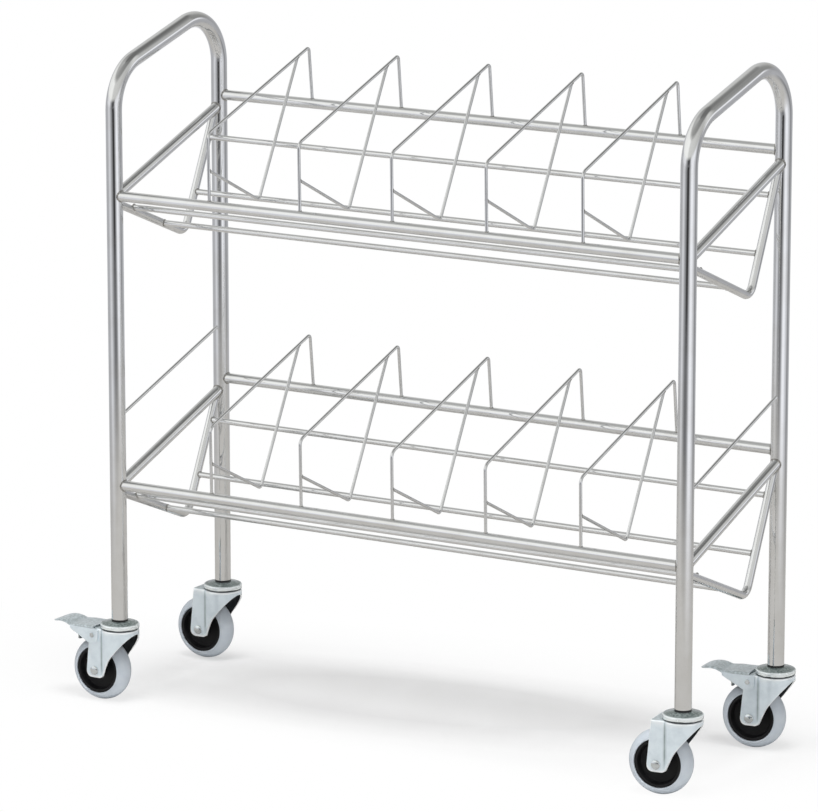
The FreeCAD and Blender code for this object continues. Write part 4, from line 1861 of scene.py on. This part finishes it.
    def build(self, shop: Paintshop, tag: str, where: Matrix) -> None:
        """Draw lever and shoe in place of their node and dress the pin.

        Args:
            shop: where they get their finishes.
            tag: start of the caster's names.
            where: the caster's place.
        """
        body = tag + "brake_lever"
        lever = put(self.lever().piece(tag + "brake_lever_pressing", where), body, "zinc",
                    tag + "brake_pedal")
        thicken(lever, self.sheet, self.edge_round, where @ Vector(self.inside) * MM)
        shop.dress(lever, ZINC)
        shop.dress(put(self.shoe().piece(tag + "brake_shoe", where), body, "zinc"), FASTENER)
        shop.dress_node(tag + "brake_pin", FASTENER)


@dataclass
class Caster:
    """One swivel caster under its leg."""

    corner: Corner
    sizes: WheelSizes = field(default_factory=WheelSizes)

    def joint(self, name: str) -> dict | None:
        """The frame's joint of this caster with that ending."""
        wanted = self.corner.value + "_" + name
        return next((joint for joint in frame["joints"] if joint["name"] == wanted), None)

    def place(self) -> Matrix:
        """Where the caster stands.

        Returns:
            The way from the caster's own axes to the rack's, in millimetres.
        """
        swivel = Vector(self.joint("swivel")["pos_m"]) / MM
        across = Vector(self.joint("wheel_spin")["axis"]).normalized()
        turned = Matrix((across.cross(Z_AXIS), across, Z_AXIS)).transposed().to_4x4()
        return Matrix.Translation((swivel.x, swivel.y, 0)) @ turned

    def build(self, shop: Paintshop) -> None:
        """Build and dress every piece of the caster.

        Args:
            shop: where the pieces get their finish.
        """
        parts = [SwivelHead(self.sizes), Fork(self.sizes), Wheel(self.sizes), AxleBolt(self.sizes)]
        if self.joint("brake_tilt"):
            parts.append(BrakePedal(self.sizes))
        where = self.place()
        for part in parts:
            part.build(shop, self.corner.value + "_", where)


@dataclass
class PlainParts:
    """Guard wires, leg inserts and bearing balls, which keep their shape and only get a finish."""

    finishes: tuple[tuple[str, Finish], ...] = (
        ("left_guard_wire", WIRE_CHROME), ("right_guard_wire", WIRE_CHROME),
        ("leg_inserts", INSERT_NYLON), ("bearing_balls", BALL_STEEL))

    def build(self, shop: Paintshop) -> None:
        """Dress each node."""
        for node, finish in self.finishes:
            shop.dress_node(node, finish)


# ---------------------------------------------------------------- studio
# The room as metal sees it: greys by degrees from the camera's side, positive to its right and
# 180 behind the rack, below the horizon, just above it, high up and overhead.  The doorway is a
# share of dark.
LOW_WALLS = ((-180, 0.88), (-166, 0.84), (-150, 0.58), (-128, 0.50), (-106, 0.47), (-92, 0.51),
             (-72, 0.77), (-58, 0.65), (-40, 0.35), (-22, 0.17), (-8, 0.18), (4, 0.27), (14, 0.50),
             (28, 0.96), (38, 1.0), (50, 0.94), (61, 0.72), (72, 0.62), (84, 0.41), (94, 0.25),
             (102, 0.31), (112, 0.48), (126, 0.42), (150, 0.52), (174, 0.80), (180, 0.88))
MIDDLE_WALLS = ((-180, 0.8), (-162, 0.54), (-112, 0.50), (-92, 0.80), (-60, 0.92), (-44, 0.50),
                (-28, 0.22), (-20, 0.07), (-4, 0.07), (4, 0.24), (20, 0.9), (60, 0.95), (84, 0.36),
                (94, 0.40), (99, 1.0), (114, 1.0), (122, 0.36), (162, 0.48), (174, 0.8), (180, 0.8))
HIGH_WALLS = ((-180, 0.60), (-150, 0.66), (-120, 0.92), (-44, 1.0), (-24, 0.70), (30, 0.65),
              (80, 0.52), (94, 0.72), (102, 0.62), (112, 0.28), (130, 0.30), (156, 0.50), (180, 0.60))
CEILING = ((-180, 0.28), (-150, 0.38), (-125, 0.47), (-90, 0.47), (-40, 0.36), (60, 0.26),
           (100, 0.17), (160, 0.17), (180, 0.28))
DOORWAY = ((-180, 0.0), (-25, 0.0), (-18, 1.0), (-2, 1.0), (4, 0.0), (180, 0.0))

WHITE = (1.0, 1.0, 1.0)
COOL = (0.975, 0.98, 1.015)
WARM = (1.0, 1.0, 0.975)


def stops(band: Sequence[Pair], tint: Colour = WHITE) -> list[tuple[float, Colour]]:
    """Write a band as ramp stops.

    Args:
        band: (degrees, grey) pairs.
        tint: colour that the greys take on.

    Returns:
        The place, 0 to 1, and the colour of each stop.
    """
    return [((degrees + 180) / 360, tuple(grey * part for part in tint)) for degrees, grey in band]


@dataclass(frozen=True)
class Lamp:
    """A soft square lamp: degrees right of the camera and above the floor, metres and watts."""

    name: str
    turn: float
    lift: float
    size: float
    power: float


@dataclass
class Studio:
    """Camera, pale floor, soft lamps and the white room round the rack.

    The camera's distance and target are millimetres, the sizes of floor and lamps metres.  The
    floor's tones are those that light, the camera and metal see.  An edge gives the two places,
    as shares of its span, between which one thing gives way to the next.
    """

    picture_width: float = 818.0
    sensor_width: float = 36.0
    focal_pixels: float = 5369.4
    azimuth: float = 31.41
    elevation: float = 12.43
    distance: float = 8154.3
    sight: float = 100.0
    target: tuple[float, float, float] = (-59.99, 0.0, 493.23)
    lamps: tuple[Lamp, ...] = (
        Lamp("key_lamp", -50, 48, 4.8, 230), Lamp("fill_lamp", 60, 35, 6.0, 150),
        Lamp("top_lamp", -8, 80, 3.4, 1000))
    lamp_distance: float = 9.0
    lamp_aim: tuple[float, float, float] = (0.0, 0.0, 0.5)
    plain_light: float = 0.30
    horizon: Pair = (0.48, 0.53)
    high_edge: Pair = (0.57, 0.63)
    ceiling_edge: Pair = (0.84, 0.91)
    floor_size: float = 40.0
    floor_tones: tuple[Colour, ...] = ((0.88,) * 3, (0.62,) * 3, (0.345, 0.335, 0.32))
    shadow_centre: tuple[float, float, float] = (-0.09, 0.10, 0.0)
    shadow_reach: tuple[float, float, float] = (0.62, 0.22, 1.0)
    shadow_turn: float = 9.0
    shadow_span: float = 2.0
    shadow_fade: tuple[Pair, ...] = ((0.25, 0.0), (0.38, 0.45), (0.50, 0.74), (0.70, 0.88), (0.95, 1.0))
    walls_span: float = 4.0
    walls_edge: Pair = (0.32, 0.68)
    doorway_span: float = 8.0
    doorway_edge: Pair = (0.46, 0.54)
    doorway_shade: Colour = (0.04, 0.04, 0.04)

    def line_to(self, turn: float, lift: float) -> Vector:
        """A direction from the rack.

        Args:
            turn: degrees from the camera's side, positive to its right.
            lift: degrees above the floor.

        Returns:
            The unit direction.
        """
        around, up = math.radians(self.azimuth + turn), math.radians(lift)
        return Vector((math.sin(around) * math.cos(up), -math.cos(around) * math.cos(up), math.sin(up)))

    def camera(self) -> None:
        """Set up the camera."""
        data = bpy.data.cameras.new("camera")
        data.sensor_width = self.sensor_width
        data.lens = self.focal_pixels / self.picture_width * self.sensor_width
        data.clip_end = self.sight
        eye = bpy.data.objects.new("camera", data)
        bpy.context.scene.collection.objects.link(eye)
        line = self.line_to(0.0, self.elevation)
        eye.location = (Vector(self.target) + line * self.distance) * MM
        eye.rotation_euler = line.to_track_quat("Z", "Y").to_euler()
        bpy.context.scene.camera = eye

    def hang(self, lamp: Lamp) -> None:
        """Set up one lamp, aimed at the rack.

        Args:
            lamp: its name, place, size and power.
        """
        data = bpy.data.lights.new(lamp.name, "AREA")
        data.shape = "SQUARE"
        data.size = lamp.size
        data.energy = lamp.power
        holder = bpy.data.objects.new(lamp.name, data)
        bpy.context.scene.collection.objects.link(holder)
        line = self.line_to(lamp.turn, lamp.lift)
        holder.location = Vector(self.lamp_aim) + line * self.lamp_distance
        holder.rotation_euler = line.to_track_quat("Z", "Y").to_euler()
        holder.visible_glossy = False

    def rays(self, bench: Bench) -> tuple[Signal, Signal, Signal]:
        """What a ray is.

        Args:
            bench: the tree.

        Returns:
            Whether it comes from the camera, from a gloss and through glass.
        """
        path = bench.add("ShaderNodeLightPath")
        return tuple(Signal(bench, path.outputs[name])
                     for name in ("Is Camera Ray", "Is Glossy Ray", "Is Transmission Ray"))

    def compass(self, bench: Bench, where: Signal) -> tuple[Signal, Signal]:
        """Turn a direction or place into the room's own compass.

        Args:
            bench: the tree.
            where: direction or place about the rack.

        Returns:
            The turn from behind the rack, 0 to 1, and the height.
        """
        turned = bench.node("ShaderNodeVectorRotate", {"rotation_type": "Z_AXIS"},
                            {"Vector": where, "Angle": math.radians(-self.azimuth)})
        parts = bench.add("ShaderNodeSeparateXYZ", None, {0: turned})
        x, y, z = (Signal(bench, output) for output in parts.outputs)
        turn = bench.node("ShaderNodeMath", {"operation": "ARCTAN2"}, {0: x, 1: y * -1.0})
        return turn / (2 * math.pi) + 0.5, z

    def room(self) -> None:
        """The world: white to the camera, a studio of pale and dark walls to metal, plain to the rest."""
        world = bpy.data.worlds.new("room")
        bpy.context.scene.world = world
        world.use_nodes = True
        bench = Bench(world.node_tree, "ShaderNodeOutputWorld")
        around, height = self.compass(bench, bench.node("ShaderNodeTexCoord", output="Generated"))
        lifted = height * 0.5 + 0.5
        low, middle, high = (bench.ramp(around, *stops(band, tint)) for band, tint in
                             ((LOW_WALLS, COOL), (MIDDLE_WALLS, COOL), (HIGH_WALLS, WARM)))
        seen = bench.mix(bench.rise(lifted, *self.horizon), low, middle)
        seen = bench.mix(bench.rise(lifted, *self.high_edge), seen, high)
        seen = bench.mix(bench.rise(lifted, *self.ceiling_edge), seen,
                         bench.ramp(around, *stops(CEILING, WARM)))
        camera_ray, glossy_ray, transmission_ray = self.rays(bench)
        plain = bench.mix((camera_ray + transmission_ray).at_most(1.0), (self.plain_light,) * 3, WHITE)
        shade = bench.mix(glossy_ray, plain, seen)
        bench.surface(bench.node("ShaderNodeBackground", None, {"Color": shade, "Strength": 1.0}))

    def floor(self) -> None:
        """The pale floor: it keeps the rack's soft shadow and is plain white round it."""
        half = self.floor_size / 2
        corners = [(-half, -half, 0), (half, -half, 0), (half, half, 0), (-half, half, 0)]
        mesh = bpy.data.meshes.new("floor")
        mesh.from_pydata(corners, [], [(0, 1, 2, 3)])
        piece = bpy.data.objects.new("floor", mesh)
        bpy.context.scene.collection.objects.link(piece)
        piece.data.materials.append(self.floor_material())

    def floor_material(self) -> bpy.types.Material:
        """Lit cloth near the rack, glowing white further off, and walls to metal far out.

        Returns:
            The material.
        """
        material, bench, where = new_material("pale_floor")
        reach = bench.length(where)
        patch = bench.node("ShaderNodeMapping", {"vector_type": "TEXTURE"}, {
            "Vector": where, "Location": self.shadow_centre, "Scale": self.shadow_reach,
            "Rotation": (0.0, 0.0, math.radians(self.shadow_turn))})
        away = bench.ramp(bench.length(patch) / self.shadow_span, *self.shadow_fade)
        far = bench.rise(reach / self.walls_span, *self.walls_edge)
        around, _ = self.compass(bench, where)
        camera_ray, glossy_ray, transmission_ray = self.rays(bench)
        shown = (camera_ray + glossy_ray + transmission_ray).at_most(1.0)
        cloth, pale_cloth, mirrored_cloth = (
            bench.node("ShaderNodeBsdfDiffuse", None, {"Color": (*tone, 1.0)}) for tone in self.floor_tones)
        white = bench.node("ShaderNodeEmission", None, {"Color": (*WHITE, 1.0), "Strength": 1.0})
        beyond = bench.rise(reach / self.doorway_span, *self.doorway_edge)
        doorway = beyond * bench.ramp(around, *stops(DOORWAY))
        walls = bench.mix(doorway, bench.ramp(around, *stops(LOW_WALLS, COOL)), self.doorway_shade)
        room = bench.node("ShaderNodeEmission", None, {"Color": walls, "Strength": 1.0})
        plain = bench.blend(away, pale_cloth, white)
        mirrored = bench.blend(far, mirrored_cloth, room)
        bench.surface(bench.blend(shown, cloth, bench.blend(glossy_ray, plain, mirrored)))
        return material

    def build(self) -> None:
        """Set up everything round the rack."""
        scene = bpy.context.scene
        scene.view_settings.view_transform = "Standard"
        self.camera()
        self.room()
        self.floor()
        for lamp in self.lamps:
            self.hang(lamp)


def main() -> None:
    """Build the studio, then each sub-assembly of the rack in order."""
    logging.basicConfig(level=logging.INFO, format="%(message)s")
    Studio().build()
    rack = RackSizes()
    shop = Paintshop()
    for part in (*(EndFrame(rack, side) for side in Side), *(Tier(rack, level) for level in Level),
                 *(Caster(corner) for corner in Corner), PlainParts()):
        part.build(shop)


if __name__ == "__main__":
    main()
